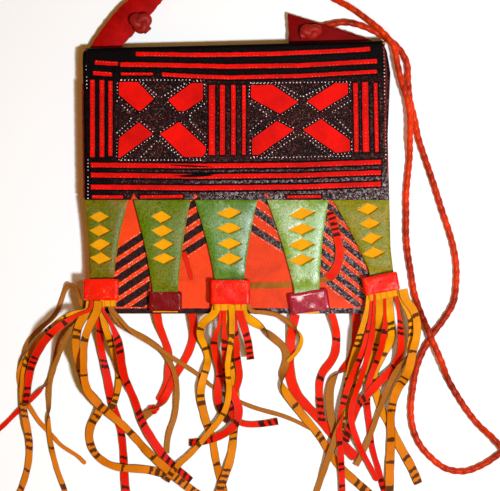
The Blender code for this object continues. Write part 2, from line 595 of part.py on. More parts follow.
def add_ear(side, outline, knot, knot_size, ear_leather, knot_leather):
    """A strip of leather at the top edge, the hole in it, and the strap's knot that sits on the hole."""
    points = [(x * MM, top_edge_y(x * MM) + GAP + up * MM) for x, up in outline]
    ear = prism(f"strap_ear_{side}", points, EAR_LOW, EAR_LOW + EAR_THICKNESS, ear_leather)
    centre = (knot[0] * MM, knot[1] * MM)
    stem = STRAP_DIAMETER / 2
    hole_radius = stem + EAR_HOLE_CLEARANCE
    hole_top = EAR_LOW + 2 * EAR_THICKNESS
    hole_foot = EAR_LOW - EAR_THICKNESS
    hole_profile = [(0, hole_top, 1), (hole_radius, hole_top, 1), (hole_radius, hole_foot, 1), (0, hole_foot, 1)]
    hole = turned(f"hole_{side}", centre, (1, 1), hole_profile, ear_leather)
    hole.hide_render = True
    hole.display_type = "WIRE"
    cut = ear.modifiers.new("hole", "BOOLEAN")
    cut.operation = "DIFFERENCE"
    cut.object = hole
    foot = EAR_LOW + EAR_THICKNESS + GAP
    profile = [(0, foot + KNOT_HEIGHT, 0)]
    profile += [(radius, foot + height * KNOT_HEIGHT, 0) for radius, height in KNOT_PROFILE]
    profile += [(stem, foot, 1), (stem, STRAP_DIAMETER + GAP, 1), (0, STRAP_DIAMETER + GAP, 1)]
    turned(f"strap_knot_{side}", centre, knot_size, profile, knot_leather)


def add_hinge():
    """The empty on the hinge line, which everything on the flap hangs on."""
    left = Vector((*on_bag(-BAG_WIDTH / 2, V_TOP - HINGE_SETBACK), HINGE_Z))
    right = Vector((*on_bag(BAG_WIDTH / 2, V_TOP - HINGE_SETBACK), HINGE_Z))
    hinge = bpy.data.objects.new("flap_hinge", None)
    bpy.context.scene.collection.objects.link(hinge)
    hinge.location = (left + right) / 2
    hinge.rotation_euler = (0, 0, math.atan2(right.y - left.y, right.x - left.x))
    bpy.context.view_layer.update()
    return hinge


def main():
    for old in list(bpy.data.objects):
        bpy.data.objects.remove(old)
    dark = leather("black_leather", (0.02, 0.008, 0.008), 0.5)
    red = leather("red_leather", (0.72, 0.06, 0.02), 0.5)
    green = leather("green_leather", (0.13, 0.2, 0.02), 0.45)
    maroon = leather("maroon_leather", (0.25, 0.01, 0.02), 0.35)
    bright = leather("bright_red_leather", (0.8, 0.04, 0.01), 0.35)
    yellow = leather("yellow_leather", (0.8, 0.3, 0.02), 0.55)
    hinge = add_hinge()
    add_pouch(dark, red)
    add_flap(dark, hinge)
    for number, tongue in enumerate(TONGUES, 1):
        add_facing(number, tongue, green, hinge)
        add_band(number, tongue, bright if tongue.fringe else maroon, hinge)
        if tongue.fringe:
            add_fringe_head(tongue, yellow, hinge)
    add_ear("left", EAR_LEFT, KNOT_LEFT, KNOT_LEFT_SIZE, maroon, bright)
    add_ear("right", EAR_RIGHT, KNOT_RIGHT, KNOT_RIGHT_SIZE, maroon, bright)
    add_strap(bright)
    add_laces(bright, yellow, hinge)


main()
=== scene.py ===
"""Looks of a fringed leather bag: painted and pricked leather, cut windows, barred laces and a braided strap.

The file is laid out as a Blender add-on and is run as a script. Each piece has its own operator.
"""
import json
import math
import random
from collections import namedtuple

import bmesh
import bpy
import numpy as np
from bpy.props import FloatProperty, FloatVectorProperty, PointerProperty
from bpy.types import Operator, Panel, PropertyGroup
from mathutils import Matrix, Vector


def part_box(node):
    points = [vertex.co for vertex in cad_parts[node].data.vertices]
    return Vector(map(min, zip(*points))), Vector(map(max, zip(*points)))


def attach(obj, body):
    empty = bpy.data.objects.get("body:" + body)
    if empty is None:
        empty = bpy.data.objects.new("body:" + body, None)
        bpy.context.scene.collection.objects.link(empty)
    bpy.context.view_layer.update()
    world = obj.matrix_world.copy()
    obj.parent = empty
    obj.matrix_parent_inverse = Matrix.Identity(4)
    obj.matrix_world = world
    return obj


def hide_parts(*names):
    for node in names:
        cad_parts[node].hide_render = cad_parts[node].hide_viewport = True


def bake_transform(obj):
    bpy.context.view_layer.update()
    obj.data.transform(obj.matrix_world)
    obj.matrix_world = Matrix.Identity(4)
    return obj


bl_info = {
    "name": "Fringed Leather Bag",
    "version": (1, 0, 0),
    "blender": (4, 5, 0),
    "location": "3D View > Sidebar > Leather Bag",
    "description": "Builds the finished surfaces of a fringed leather bag round its packed solids",
    "category": "Object",
}

MM = 0.001
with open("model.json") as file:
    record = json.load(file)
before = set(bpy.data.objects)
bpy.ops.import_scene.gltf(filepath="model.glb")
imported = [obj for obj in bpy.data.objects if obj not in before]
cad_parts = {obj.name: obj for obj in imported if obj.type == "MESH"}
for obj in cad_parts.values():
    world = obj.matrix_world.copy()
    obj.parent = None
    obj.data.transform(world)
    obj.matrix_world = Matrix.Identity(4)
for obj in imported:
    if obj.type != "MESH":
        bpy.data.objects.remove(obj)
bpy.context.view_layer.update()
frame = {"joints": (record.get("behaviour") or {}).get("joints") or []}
JOINT = frame["joints"][0]
HINGE_AXIS = Vector(JOINT["axis"]).normalized()
POUCH = "pouch"
FLAP = "flap"

# Pouch, as in the part's source
BAG_WIDTH = 196 * MM
BAG_HEIGHT = 174.5 * MM
BAG_LEAN = 0.0243
TOP_RISE = 4.9 * MM
V_TOP = BAG_HEIGHT / 2
V_BOTTOM = -BAG_HEIGHT / 2
GAP = 0.3 * MM
FLAP_EDGE_Y = -13.3 * MM
NOTCH_RISE = 5.5 * MM
TONGUE_WAIST = 1.0 * MM
LIFT_RUN = 5 * MM
TONGUE_LIFT = 1.3 * MM
FLAP_THICKNESS = 1.4 * MM
FACING_THICKNESS = 0.8 * MM
FACING_MARGIN = 0.1 * MM
WINDOW_WIDTHS = (14.2 * MM, 14.4 * MM, 17.0 * MM, 17.6 * MM, 14.4 * MM)
WINDOW_HEIGHT = 7.6 * MM
BAND_WALL = 1.0 * MM
HEAD_THICKNESS = 4.6 * MM
FRONT_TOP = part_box("front_panel")[1][2]
FLAP_LOW = FRONT_TOP + GAP
FLAP_TOP = FLAP_LOW + FLAP_THICKNESS
FACING_LOW = FLAP_TOP + GAP
HEAD_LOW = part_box("fringe_head_left")[0][2]
EAR_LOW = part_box("strap_ear_left")[0][2]
EAR_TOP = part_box("strap_ear_left")[1][2]

# Laces and strap, as in the part's source
LACE_WIDTH = 5.6 * MM
LACE_THIN = 3.0 * MM
LACE_BROAD = 7.0 * MM
LACE_THICKNESS = 1.0 * MM
LACE_POINT_STEP = 7.0 * MM
LACE_REST = 0.15 * MM
SEAM_LACE_START = 5.0 * MM
MAX_SLOPE = 0.8
STRAP_DIAMETER = 4.4 * MM
STRAP_POINT_STEP = 12.5 * MM
STRAP_JOIN_POINTS = 2
CELL = 0.75 * MM
FIELD_LOW = (-190 * MM, -240 * MM)
FIELD_HIGH = (215 * MM, 160 * MM)
LAY_MARGIN = 0.75 * MM
DENSE_STEP = 0.75 * MM
CURVE_STEPS = 24  # points that a route is drawn with between two of its own points
LACE_STEP = 0.8 * MM

# The photograph: how many millimetres a pixel is, the pixel at the bag's centre, and its size in pixels
PIXEL = 0.65 * MM
CENTRE_PX = (238.2, 179.5)
IMAGE_SIZE = (500, 491)

# Camera, lamps, world and floor
CAMERA_HEIGHT = 1.6
SENSOR_WIDTH = 36
KEY_POWER = 16.2
NEAR_POWER = 0.22
WORLD_STRENGTH = 1.0
WORLD_COLOUR = (0.26, 0.115, 0.016)
FLOOR_COLOUR = (0.98, 0.98, 0.95)
FLOOR_GLOW = 0.03
GLOW_COLOUR = (1.0, 0.75, 0.3)

# Sizes of the dressed pieces
HEM = 3.4 * MM
BACK_THICKNESS = 1.8 * MM
SPINE_THICKNESS = 1.6 * MM
FRONT_THICKNESS = 1.6 * MM
MOUTH = 12 * MM
BAND_CORNER = 1.6 * MM
HEAD_REACH = 4.0 * MM
HEAD_SIDE_CLEARANCE = 0.6 * MM
HEAD_TUCK = 1.0 * MM
KNOT_HEIGHT = 6.0 * MM
STRAP_CENTRE = STRAP_DIAMETER / 2 + 0.05 * MM
SEAM_KNOT = (-55 * MM, -150 * MM, 3.4 * MM)
SEAM_KNOT_SIZE = (7.5 * MM, 6.5 * MM, 3.6 * MM)
NARROWEST_NOTCH = 4.4 * MM
TONGUE_ROWS = 26
SOFT_ANGLE = 60  # degrees, above which an edge of a soft piece is shaded sharp
RIPPLE_FADE = 14 * MM  # over which the flap's ripple dies away above its lower edge

# The flap's fold: how far it stands out past the top edge, its radius, the levels of its rows below that in
# millimetres, and how much narrower it is at its top
FOLD_OUT = 0.7 * MM
FOLD_RADIUS = 2.2 * MM
FOLD_LEVELS = (0.6, 3.0, 6.0, 9.0)
FOLD_NARROWING = 0.026

# Colours of wear, and colours painted in for glare and shade
RUBBED_BROWN = (0.42, 0.2, 0.16)
GLARE_FLECK = (0.6, 0.5, 0.5)
WEAR_AND_GLARE_GREEN = (0.55, 0.62, 0.42)
PAINTED_EDGE_SHADE = (0.09, 0.03, 0.003)

Tongue = namedtuple("Tongue", "left right end_x end_width end_y band_x band_y band_width band_length turn "
                              "fringe window_first window_last")
TONGUES = [
    Tongue(-98.0, -71.6, -88.6, 15.0, -76.0, -88.9, -71.5, 22.8, 13.7, 0, "left",
           (-89.8, -24.4), (-89.2, -51.4)),
    Tongue(-68.0, -31.0, -47.3, 16.3, -86.3, -47.3, -79.3, 21.5, 12.4, 0, "", (-49.5, -24.4), (-47.9, -51.4)),
    Tongue(-28.4, 12.6, -5.6, 19.0, -79.0, -5.1, -73.1, 25.6, 15.6, 0, "middle",
           (-5.6, -21.8), (-5.3, -51.7)),
    Tongue(18.7, 58.8, 44.5, 16.4, -87.0, 46.0, -79.4, 26.0, 13.5, 9, "", (41.5, -22.4), (41.0, -52.3)),
    Tongue(61.4, 98.2, 93.0, 15.6, -70.5, 92.4, -67.6, 23.2, 11.5, 11, "right",
           (84.4, -19.2), (88.0, -47.8)),
]

# Lace routes over the surface that the bag lies on, in millimetres, in the order in which they are laid
SEAM_LACES = {
    "lace_seam_1": [(-53, -88), (-51, -98), (-47, -108), (-45, -116), (-46, -125), (-46, -133),
        (-49, -139), (-52, -145)],
    "lace_seam_2": [(-30, -88), (-29, -99), (-31, -109), (-35, -118), (-40, -126), (-44, -134),
        (-47, -141), (-53, -149), (-60, -153), (-65, -159)],
    "lace_seam_3": [(37, -89), (35, -99), (34, -111), (33, -119), (34, -128), (37, -138), (42, -145),
        (51, -154), (59, -163), (67, -172), (77, -182)],
    "lace_seam_4": [(61, -88), (64, -98), (64, -111), (62, -118), (58, -122), (54, -128), (53, -138),
        (54, -151), (55, -158)],
    "lace_seam_5": [(77, -88), (77, -101), (75, -114), (70, -123), (63, -128), (60, -136), (60, -151),
        (63, -166)],
}
FRINGE_LACES = {
    "lace_left_1": [(-100, -84), (-102.6, -79), (-103.8, -73.5), (-106, -69), (-109.5, -67.5),
        (-113, -71), (-116, -80), (-121, -90), (-131, -98), (-139, -108), (-142, -118), (-144, -127),
        (-142, -139), (-137, -148), (-130, -159), (-124, -165), (-115, -175), (-106, -180), (-100, -186)],
    "lace_left_5": [(-96, -87), (-105, -91), (-113, -97), (-118, -108), (-120, -119), (-122, -128),
        (-127, -135), (-135, -143), (-146, -153), (-155, -162), (-164, -169)],
    "lace_left_8": [(-89.5, -84), (-90, -96), (-90, -111), (-87, -124), (-85, -134), (-83, -146),
        (-78, -159), (-76, -170), (-75, -182), (-74, -202), (-72, -211)],
    "lace_left_11": [(-83, -84), (-79, -91), (-73, -97), (-64, -102), (-53, -109), (-46, -117),
        (-41, -128), (-40, -139), (-42, -156), (-46, -167), (-47, -179)],
    "lace_left_4": [(-96, -85), (-101, -90), (-108, -97), (-114, -108), (-120, -121), (-123, -130),
        (-124, -148), (-124, -163), (-122, -176), (-119, -189), (-114, -202), (-111, -211)],
    "lace_left_9": [(-89, -84), (-86, -96), (-82, -108), (-79, -121), (-78, -130), (-79, -139),
        (-83, -150)],
    "lace_left_12": [(-82.5, -84), (-77, -90), (-70, -98), (-57, -107), (-45, -115), (-28, -126),
        (-15, -137), (-2, -144), (13, -150), (28, -154), (40, -159), (51, -165)],
    "lace_left_6": [(-95.5, -85), (-101, -90), (-104, -97), (-105, -111), (-103, -124), (-99, -138),
        (-92, -145), (-89, -150), (-95, -157), (-98, -167), (-95, -178), (-89, -184), (-80, -188),
        (-68, -189), (-57, -190), (-48, -193)],
    "lace_left_10": [(-88.5, -84), (-82, -94), (-77, -108), (-76, -119), (-74, -130), (-70, -139),
        (-66, -149), (-63, -158), (-55, -172), (-46, -184), (-38, -191), (-31, -197)],
    "lace_left_2": [(-97, -86), (-103, -86), (-111, -89), (-124, -99), (-135, -111), (-140, -123),
        (-141, -134), (-141, -146), (-139, -158), (-137, -170), (-137, -182), (-139, -193),
        (-142, -202), (-146, -211)],
    "lace_left_7": [(-90.5, -84), (-94, -91), (-99, -102), (-100, -118), (-100, -130), (-98, -139),
        (-91, -147), (-85, -152), (-77, -159), (-69, -167), (-62, -175), (-47, -189), (-33, -201),
        (-22, -208)],
    "lace_left_3": [(-95, -85), (-102, -87), (-111, -92), (-118, -97), (-125, -104), (-130, -111),
        (-135, -121), (-137, -130), (-138, -139), (-139, -146)],
    "lace_middle_1": [(-15, -87.5), (-21, -91), (-25, -97), (-24, -105), (-20, -112), (-20, -120),
        (-23, -130), (-25, -141), (-23, -151), (-21, -159), (-17, -169), (-15, -182), (-12, -194),
        (-10, -202), (-9, -211)],
    "lace_middle_3": [(-6, -86), (-6, -94), (-6, -109), (-5, -124), (-2, -136), (-2, -152), (-3, -167),
        (-5, -182), (-9, -194), (-12, -202), (-15, -211)],
    "lace_middle_8": [(3.5, -88), (11, -93), (17, -98), (25, -105), (32, -112), (31, -121), (28, -130),
        (30, -138), (36, -146), (43, -155), (53, -167), (59, -177), (65, -186), (74, -195), (82, -202),
        (90, -209)],
    "lace_middle_2": [(-11, -86), (-12, -94), (-16, -106), (-14, -117), (-12, -126), (-13, -136),
        (-14, -143), (-11, -151), (-6, -158)],
    "lace_middle_5": [(-2, -86), (-1, -98), (-1, -114), (1, -130), (-4, -143), (-5, -152), (1, -159),
        (13, -160), (26, -158)],
    "lace_middle_9": [(8, -86), (14, -86), (21, -87), (27, -88.5), (32.5, -92.5), (38, -98), (42, -104),
        (39, -112), (32, -119)],
    "lace_middle_4": [(-9, -86), (-9, -98), (-8, -117), (-7, -134), (0, -147), (-1, -159), (-11, -167),
        (-22, -171), (-32, -172)],
    "lace_middle_7": [(0.5, -86), (4, -96), (7, -108), (8, -117)],
    "lace_middle_6": [(-4, -86), (-4, -101), (-7, -121), (-6, -137), (-9, -152), (-19, -165),
        (-31, -179), (-41, -188), (-47, -197)],
    "lace_right_1": [(86, -83), (83, -93), (80, -105), (75, -120), (72, -136)],
    "lace_right_2": [(92, -82), (92, -92), (91, -104), (89, -113), (83, -124), (79, -133), (72, -145),
        (68, -156), (66, -165)],
    "lace_right_3": [(98, -80), (99, -92), (100, -102), (97, -110), (92, -118), (88, -128), (90, -137),
        (93, -149), (99, -160), (105, -173), (114, -189), (118, -199)],
    "lace_right_4": [(84, -83), (79, -101), (73, -124), (69, -143), (65, -163), (59, -181), (55, -193),
        (52, -202), (49, -210)],
    "lace_right_7": [(95, -81), (95, -98), (92, -114), (86, -130), (84, -143), (85, -153), (86, -163),
        (88, -177), (92, -190), (95, -202), (99, -210)],
    "lace_right_8": [(103, -80), (105, -94), (106, -109), (104, -119), (99, -126), (92, -132),
        (86, -139), (79, -146), (75, -155), (72, -163), (70, -171)],
    "lace_right_5": [(86, -83), (84, -99), (78, -119), (70, -140), (66, -160), (67, -181), (68, -202),
        (68, -210)],
    "lace_right_9": [(106, -79), (111, -88), (112, -102), (110, -115), (103, -125), (98, -135),
        (94, -146), (90, -157), (84, -173), (77, -187)],
    "lace_right_6": [(88, -82), (87, -99), (83, -117), (77, -138), (73, -152), (75, -163), (80, -176),
        (87, -189), (91, -197)],
    "lace_right_10": [(108, -78), (114, -85), (116, -98), (113, -112), (110, -126), (103, -138),
        (100, -150), (100, -170), (99, -190), (99, -202), (99, -211)],
}
THIN_LACES = ("lace_left_1", "lace_left_12")
BROAD_LACES = ("lace_seam_3",)
# The strap from its right knot down to the turn of its loop, then back up, over itself, to its left knot
STRAP_DOWN = [
    (47, 97), (54, 100), (66, 103), (78, 102), (87, 98), (93, 95), (100, 91), (106, 85), (110, 78),
    (111, 67), (112, 54), (115, 42), (118, 27), (124, 9), (129, -6), (134, -22), (139, -37), (142, -50),
    (143, -64), (142, -72), (140, -83), (134, -92), (128, -100), (123, -108), (117, -122), (114, -139),
    (113, -155), (116, -167), (122, -178), (131, -185), (138, -190), (145, -191), (155, -189),
    (164, -184), (170.5, -179.5), (177, -173.5), (184, -168.5), (191, -169)
]
STRAP_UP = [
    (196, -175), (193, -182), (186, -185), (178.5, -181), (170, -173), (164, -166), (155, -158),
    (146, -145), (138, -132), (132, -117), (125, -101), (119, -86), (116, -78), (114, -67), (112, -54),
    (110, -41), (110, -28), (110, -7), (112, 13), (112, 33), (112, 45), (109, 57), (106, 66), (104, 75),
    (102.5, 84), (99, 92), (91, 99), (77, 110), (62, 119), (43, 130), (21, 137), (-2, 140), (-25, 138),
    (-43, 132), (-56, 123), (-62, 114), (-66, 105.5)
]
# Ear outlines, in millimetres: x and the distance above the bag's top edge, round the ear
EAR_LEFT = [(-98, 0), (-77, 0), (-49.5, 30.6), (-41, 39), (-52, 46), (-62.5, 39), (-75, 29.5), (-87, 16)]
EAR_RIGHT = [(33, 0), (91.0, 0), (61, 11.0), (32.4, 20.0)]
KNOT_LEFT = (-67, 102.5)
KNOT_RIGHT = (47.5, 96.6)
KNOT_LEFT_SIZE = (15.6 * MM, 15.0 * MM)
KNOT_RIGHT_SIZE = (15.6 * MM, 11.0 * MM)


def on_bag(u, v):
    """Place a point of the straight pattern, u across and v up, on the slightly skewed bag."""
    rise = TOP_RISE * (u / BAG_WIDTH) * (v - V_BOTTOM) / BAG_HEIGHT
    return (u - BAG_LEAN * v, v + rise)


def top_edge_y(x):
    """Height of the bag's top edge above a place along it."""
    return V_TOP + TOP_RISE * (x + BAG_LEAN * V_TOP) / BAG_WIDTH


def clamp(value):
    """A value kept between nought and one."""
    return min(1.0, max(0.0, value))


def ease(value):
    """A share from nought to one that starts and ends softly."""
    t = clamp(value)
    return t * t * (3 - 2 * t)


def across_bag(column, columns):
    """How far a column of a sheet's corners is from the bag's middle."""
    return -BAG_WIDTH / 2 + BAG_WIDTH * column / (columns - 1)


def between(a, b, start, end, t):
    """A point on the line from a to b, which are reached at start and end."""
    return (end - t) / (end - start) * a + (t - start) / (end - start) * b


def distances(line):
    """How far along a line each of its points is."""
    return np.concatenate([[0], np.cumsum(np.linalg.norm(np.diff(line, axis=0), axis=1))])


def points_at(wanted, along, line):
    """The points at the wanted distances along a line."""
    return np.column_stack([np.interp(wanted, along, column) for column in line.T])


def smooth_route(points, step):
    """Points at an even step along a smooth curve through a route's points."""
    p = np.array(points, float) * MM
    p = np.vstack([2 * p[0] - p[1], p, 2 * p[-1] - p[-2]])
    knots = np.concatenate([[0], np.cumsum(np.sqrt(np.linalg.norm(np.diff(p, axis=0), axis=1)))])
    curve = []
    for i in range(1, len(p) - 2):
        t0, t1, t2, t3 = knots[i - 1:i + 3]
        for t in np.linspace(t1, t2, CURVE_STEPS, endpoint=False):
            a1 = between(p[i - 1], p[i], t0, t1, t)
            a2 = between(p[i], p[i + 1], t1, t2, t)
            a3 = between(p[i + 1], p[i + 2], t2, t3, t)
            b1 = between(a1, a2, t0, t2, t)
            b2 = between(a2, a3, t1, t3, t)
            curve.append(between(b1, b2, t1, t2, t))
    curve = np.array(curve + [p[-2]])
    along = distances(curve)
    wanted = np.linspace(0, along[-1], max(2, round(along[-1] / step) + 1))
    return points_at(wanted, along, curve)


class Surface:
    """How high the things that lie on the ground reach, over a grid of small cells."""

    def __init__(self):
        self.xs = np.arange(FIELD_LOW[0], FIELD_HIGH[0], CELL)
        self.ys = np.arange(FIELD_LOW[1], FIELD_HIGH[1], CELL)
        self.height = np.zeros((len(self.xs), len(self.ys)))

    def disc(self, point, radius):
        """The cells within a radius of a point."""
        i0, i1 = np.searchsorted(self.xs, (point[0] - radius, point[0] + radius))
        j0, j1 = np.searchsorted(self.ys, (point[1] - radius, point[1] + radius))
        dx = self.xs[i0:i1, None] - point[0]
        dy = self.ys[None, j0:j1] - point[1]
        return (slice(i0, i1), slice(j0, j1)), dx * dx + dy * dy <= radius * radius

    def fill(self, inside, height):
        """Raise every cell that a test says is inside an outline."""
        grid_x, grid_y = np.meshgrid(self.xs, self.ys, indexing="ij")
        mask = inside(grid_x, grid_y)
        self.height[mask] = np.maximum(self.height[mask], height)

    def lay(self, route, radius, thickness, step, start=0.0, end=0.0):
        """Heights of a strip's underside at an even step along its route, over all that was laid before.

        The strip's own top is then added, for what is laid later. The strip is returned as its points and
        the heights there.
        """
        dense = smooth_route(route, DENSE_STEP)
        need = np.empty(len(dense))
        for i, point in enumerate(dense):
            cells, near = self.disc(point, radius)
            below = self.height[cells][near].max(initial=0.0)
            need[i] = below + (GAP if below > 0 else LACE_REST)
        need[0] = max(need[0], start)
        need[-1] = max(need[-1], end)
        along = distances(dense)
        apart = np.abs(along[:, None] - along[None, :])
        envelope = (need[None, :] - MAX_SLOPE * apart).max(axis=1)
        count = max(2, round(along[-1] / step) + 1)
        wanted = np.linspace(0, along[-1], count)
        reach = along[-1] / (count - 1)
        heights = np.array([envelope[np.abs(along - s) <= reach].max() for s in wanted])
        points = points_at(wanted, along, dense)
        tops = np.interp(along, wanted, heights) + thickness
        for point, top in zip(dense, tops):
            cells, near = self.disc(point, radius + LAY_MARGIN)
            patch = self.height[cells]
            patch[near] = np.maximum(patch[near], top)
        return points, heights


class BagColours(PropertyGroup):
    """Colours of the dyed and painted leathers."""

    black: FloatVectorProperty(name="Black Paint", description="Paint over the flap's red leather",
                               subtype="COLOR", default=(0.003, 0.0015, 0.0015))
    worn: FloatVectorProperty(name="Worn Black", description="Brown leather where the black is worn",
                              subtype="COLOR", default=(0.085, 0.012, 0.01))
    red: FloatVectorProperty(name="Flap Red", description="Red fields scraped out of the black",
                             subtype="COLOR", default=(0.86, 0.004, 0.0006))
    front_red: FloatVectorProperty(name="Front Red", description="Red of the front panel",
                                   subtype="COLOR", default=(0.95, 0.055, 0.004))
    yellow: FloatVectorProperty(name="Fringe Yellow", description="Orange yellow of the fringes",
                                subtype="COLOR", default=(0.95, 0.37, 0.001))
    lace_red: FloatVectorProperty(name="Lace Red", description="Red of the dyed laces",
                                  subtype="COLOR", default=(0.8, 0.008, 0.0008))
    flesh: FloatVectorProperty(name="Flesh Side", description="Undyed back of the laces",
                               subtype="COLOR", default=(0.5, 0.16, 0.016))
    maroon: FloatVectorProperty(name="Dark Red", description="Dark red of the ears and two bands",
                                subtype="COLOR", default=(0.2, 0.002, 0.004))
    band_red: FloatVectorProperty(name="Band Red", description="Bright red of three bands",
                                  subtype="COLOR", default=(0.95, 0.012, 0.001))
    strap: FloatVectorProperty(name="Strap Red", description="Red of the braided strap",
                               subtype="COLOR", default=(0.82, 0.04, 0.001))


class BagSizes(PropertyGroup):
    """Sizes of the fine surface."""

    ripple: FloatProperty(name="Ripple", description="How far the flap rises and dips", default=0.12 * MM,
                          unit="LENGTH")
    crown: FloatProperty(name="Tongue Crown", description="How far a tongue facing swells in its middle",
                         default=0.9 * MM, unit="LENGTH")
    paint: FloatProperty(name="Paint Relief", description="How far a field of colour stands proud",
                         default=0.14 * MM, unit="LENGTH")
    mark: FloatProperty(name="Mark Size", description="Half width of one pricked mark", default=0.56 * MM,
                        unit="LENGTH")
    braid_pitch: FloatProperty(name="Braid Pitch", description="Length of one turn of the strap's strands",
                               default=12 * MM, unit="LENGTH")


def colours():
    return bpy.context.scene.bag_colours


def sizes():
    return bpy.context.scene.bag_sizes


def spot(px, py):
    """A place on the bag from a place in the photograph."""
    return ((px - CENTRE_PX[0]) * PIXEL, (CENTRE_PX[1] - py) * PIXEL)


def new_object(name, mesh, materials):
    """Link a finished mesh, with its materials."""
    for material in materials:
        mesh.materials.append(material)
    piece = bpy.data.objects.new(name, mesh)
    bpy.context.scene.collection.objects.link(piece)
    return piece


def select_only(piece):
    """Deselect everything but one piece and make it active."""
    bpy.ops.object.select_all(action="DESELECT")
    piece.select_set(True)
    bpy.context.view_layer.objects.active = piece


def apply_modifiers(piece):
    """Apply a piece's modifiers in order."""
    select_only(piece)
    for modifier in list(piece.modifiers):
        bpy.ops.object.modifier_apply(modifier=modifier.name)


def mesh_object(name, corners, faces, materials, face_slots=None, smooth_angle=40):
    """A mesh from corners and faces, with its materials, shaded smooth."""
    mesh = bpy.data.meshes.new(name)
    mesh.from_pydata([tuple(c) for c in corners], [], faces)
    if face_slots is not None:
        mesh.polygons.foreach_set("material_index", face_slots)
    piece = new_object(name, mesh, materials)
    smooth(piece, smooth_angle)
    return piece


def smooth(piece, angle=40):
    """Shade a piece smooth, with creases at sharp corners."""
    select_only(piece)
    bpy.ops.object.shade_smooth_by_angle(angle=math.radians(angle))


def outward(piece):
    """Turn every face of a closed piece outwards."""
    shape = bmesh.new()
    shape.from_mesh(piece.data)
    bmesh.ops.recalc_face_normals(shape, faces=shape.faces)
    shape.to_mesh(piece.data)
    shape.free()


def ring_faces(first, rings, size, closed=False):
    """Faces between rings of corners, each ring joined to the next."""
    faces = []
    for r in range(rings if closed else rings - 1):
        here = first + r * size
        there = first + (r + 1) % rings * size
        for i in range(size):
            j = (i + 1) % size
            faces.append([here + i, here + j, there + j, there + i])
    return faces


def end_caps(first, rings, size):
    """The two faces that close a tube's ends."""
    last = first + (rings - 1) * size
    return [[first + k for k in reversed(range(size))], [last + k for k in range(size)]]


def add_shape(corners, faces, more):
    """Add another shape's corners and faces to lists of them."""
    more_corners, more_faces = more
    faces += [[k + len(corners) for k in face] for face in more_faces]
    corners += more_corners


def panel_corners(top, z, columns, rows):
    """Corners of a level panel, row by row from its top edge to the bag's bottom."""
    corners = []
    for r in range(rows):
        v = top + (V_BOTTOM - top) * r / (rows - 1)
        corners += [(*on_bag(across_bag(c, columns), v), z) for c in range(columns)]
    return corners


def thicken(piece, thickness, rim_slot=0, back_slot=0, bevel=0.3 * MM):
    """Give a sheet its thickness below its surface, with a rounded rim."""
    add_modifier(piece, "SOLIDIFY", thickness=thickness, offset=-1, material_offset_rim=rim_slot,
                 material_offset=back_slot, use_even_offset=False)
    add_modifier(piece, "BEVEL", width=bevel, segments=2, limit_method="ANGLE", angle_limit=math.radians(55))
    apply_modifiers(piece)
    smooth(piece)


class Nodes:
    """Short ways to add shader nodes to one material."""

    def __init__(self, name, roughness):
        self.material = bpy.data.materials.new(name)
        self.material.use_nodes = True
        self.tree = self.material.node_tree
        self.shader = self.tree.nodes["Principled BSDF"]
        self.shader.inputs["Roughness"].default_value = roughness
        self.place = self.tree.nodes.new("ShaderNodeTexCoord").outputs["Object"]

    def add(self, kind, inputs=(), **values):
        """A node with its settings and the plain values of its inputs."""
        node = self.tree.nodes.new(kind)
        for key, value in values.items():
            setattr(node, key, value)
        for key, value in dict(inputs).items():
            node.inputs[key].default_value = value
        return node

    def feed(self, value, socket):
        """Join a socket to a source, or give it a plain number or colour."""
        if isinstance(value, (int, float)):
            socket.default_value = value
        elif isinstance(value, tuple):
            socket.default_value = (*value, 1)
        else:
            self.tree.links.new(value, socket)

    def axes(self):
        """How far right and how far up the bag a place is."""
        split = self.add("ShaderNodeSeparateXYZ")
        self.feed(self.place, split.inputs["Vector"])
        return split.outputs["X"], split.outputs["Y"]

    def noise(self, scale, detail=4, rough=0.6, distortion=0.0):
        """Soft random patches."""
        node = self.add("ShaderNodeTexNoise", {"Scale": scale, "Detail": detail, "Roughness": rough,
                                               "Distortion": distortion})
        self.feed(self.place, node.inputs["Vector"])
        return node.outputs["Fac"]

    def cells(self, scale):
        """Distance from the edges of small cells, like the pores of leather."""
        node = self.add("ShaderNodeTexVoronoi", {"Scale": scale}, feature="DISTANCE_TO_EDGE")
        self.feed(self.place, node.inputs["Vector"])
        return node.outputs["Distance"]

    def ramp(self, source, low, high):
        """Nought at a low value of the source and one at a high value."""
        node = self.add("ShaderNodeMapRange", {"From Min": low, "From Max": high})
        self.feed(source, node.inputs["Value"])
        return node.outputs["Result"]

    def mix(self, factor, first, second):
        """One colour turning into another."""
        node = self.add("ShaderNodeMix", data_type="RGBA")
        self.feed(factor, node.inputs["Factor"])
        self.feed(first, node.inputs[6])
        self.feed(second, node.inputs[7])
        return node.outputs[2]

    def maths(self, operation, first, second):
        """A sum worked out on two values."""
        node = self.add("ShaderNodeMath", operation=operation)
        self.feed(first, node.inputs[0])
        self.feed(second, node.inputs[1])
        return node.outputs[0]

    def product(self, *values):
        """Values multiplied together."""
        result = values[0]
        for value in values[1:]:
            result = self.maths("MULTIPLY", result, value)
        return result

    def plus(self, first, second):
        """Two values added together."""
        return self.maths("ADD", first, second)

    def attribute(self, name):
        """A value painted on the piece's own corners."""
        return self.add("ShaderNodeAttribute", attribute_name=name).outputs["Fac"]

    def colour(self, source):
        """Give the shader its colour."""
        self.feed(source, self.shader.inputs["Base Color"])

    def finish(self, base, relief, strength, shine, distance=0.3 * MM):
        """Give the shader its colour, its relief and a shine that is the same all over."""
        self.colour(base)
        node = self.add("ShaderNodeBump", {"Strength": strength, "Distance": distance})
        self.feed(relief, node.inputs["Height"])
        self.feed(node.outputs["Normal"], self.shader.inputs["Normal"])
        self.shader.inputs["Specular IOR Level"].default_value = shine
        return self.material


def shade(colour, factor):
    """A colour made darker or paler."""
    return tuple(min(1.0, c * factor) for c in colour)


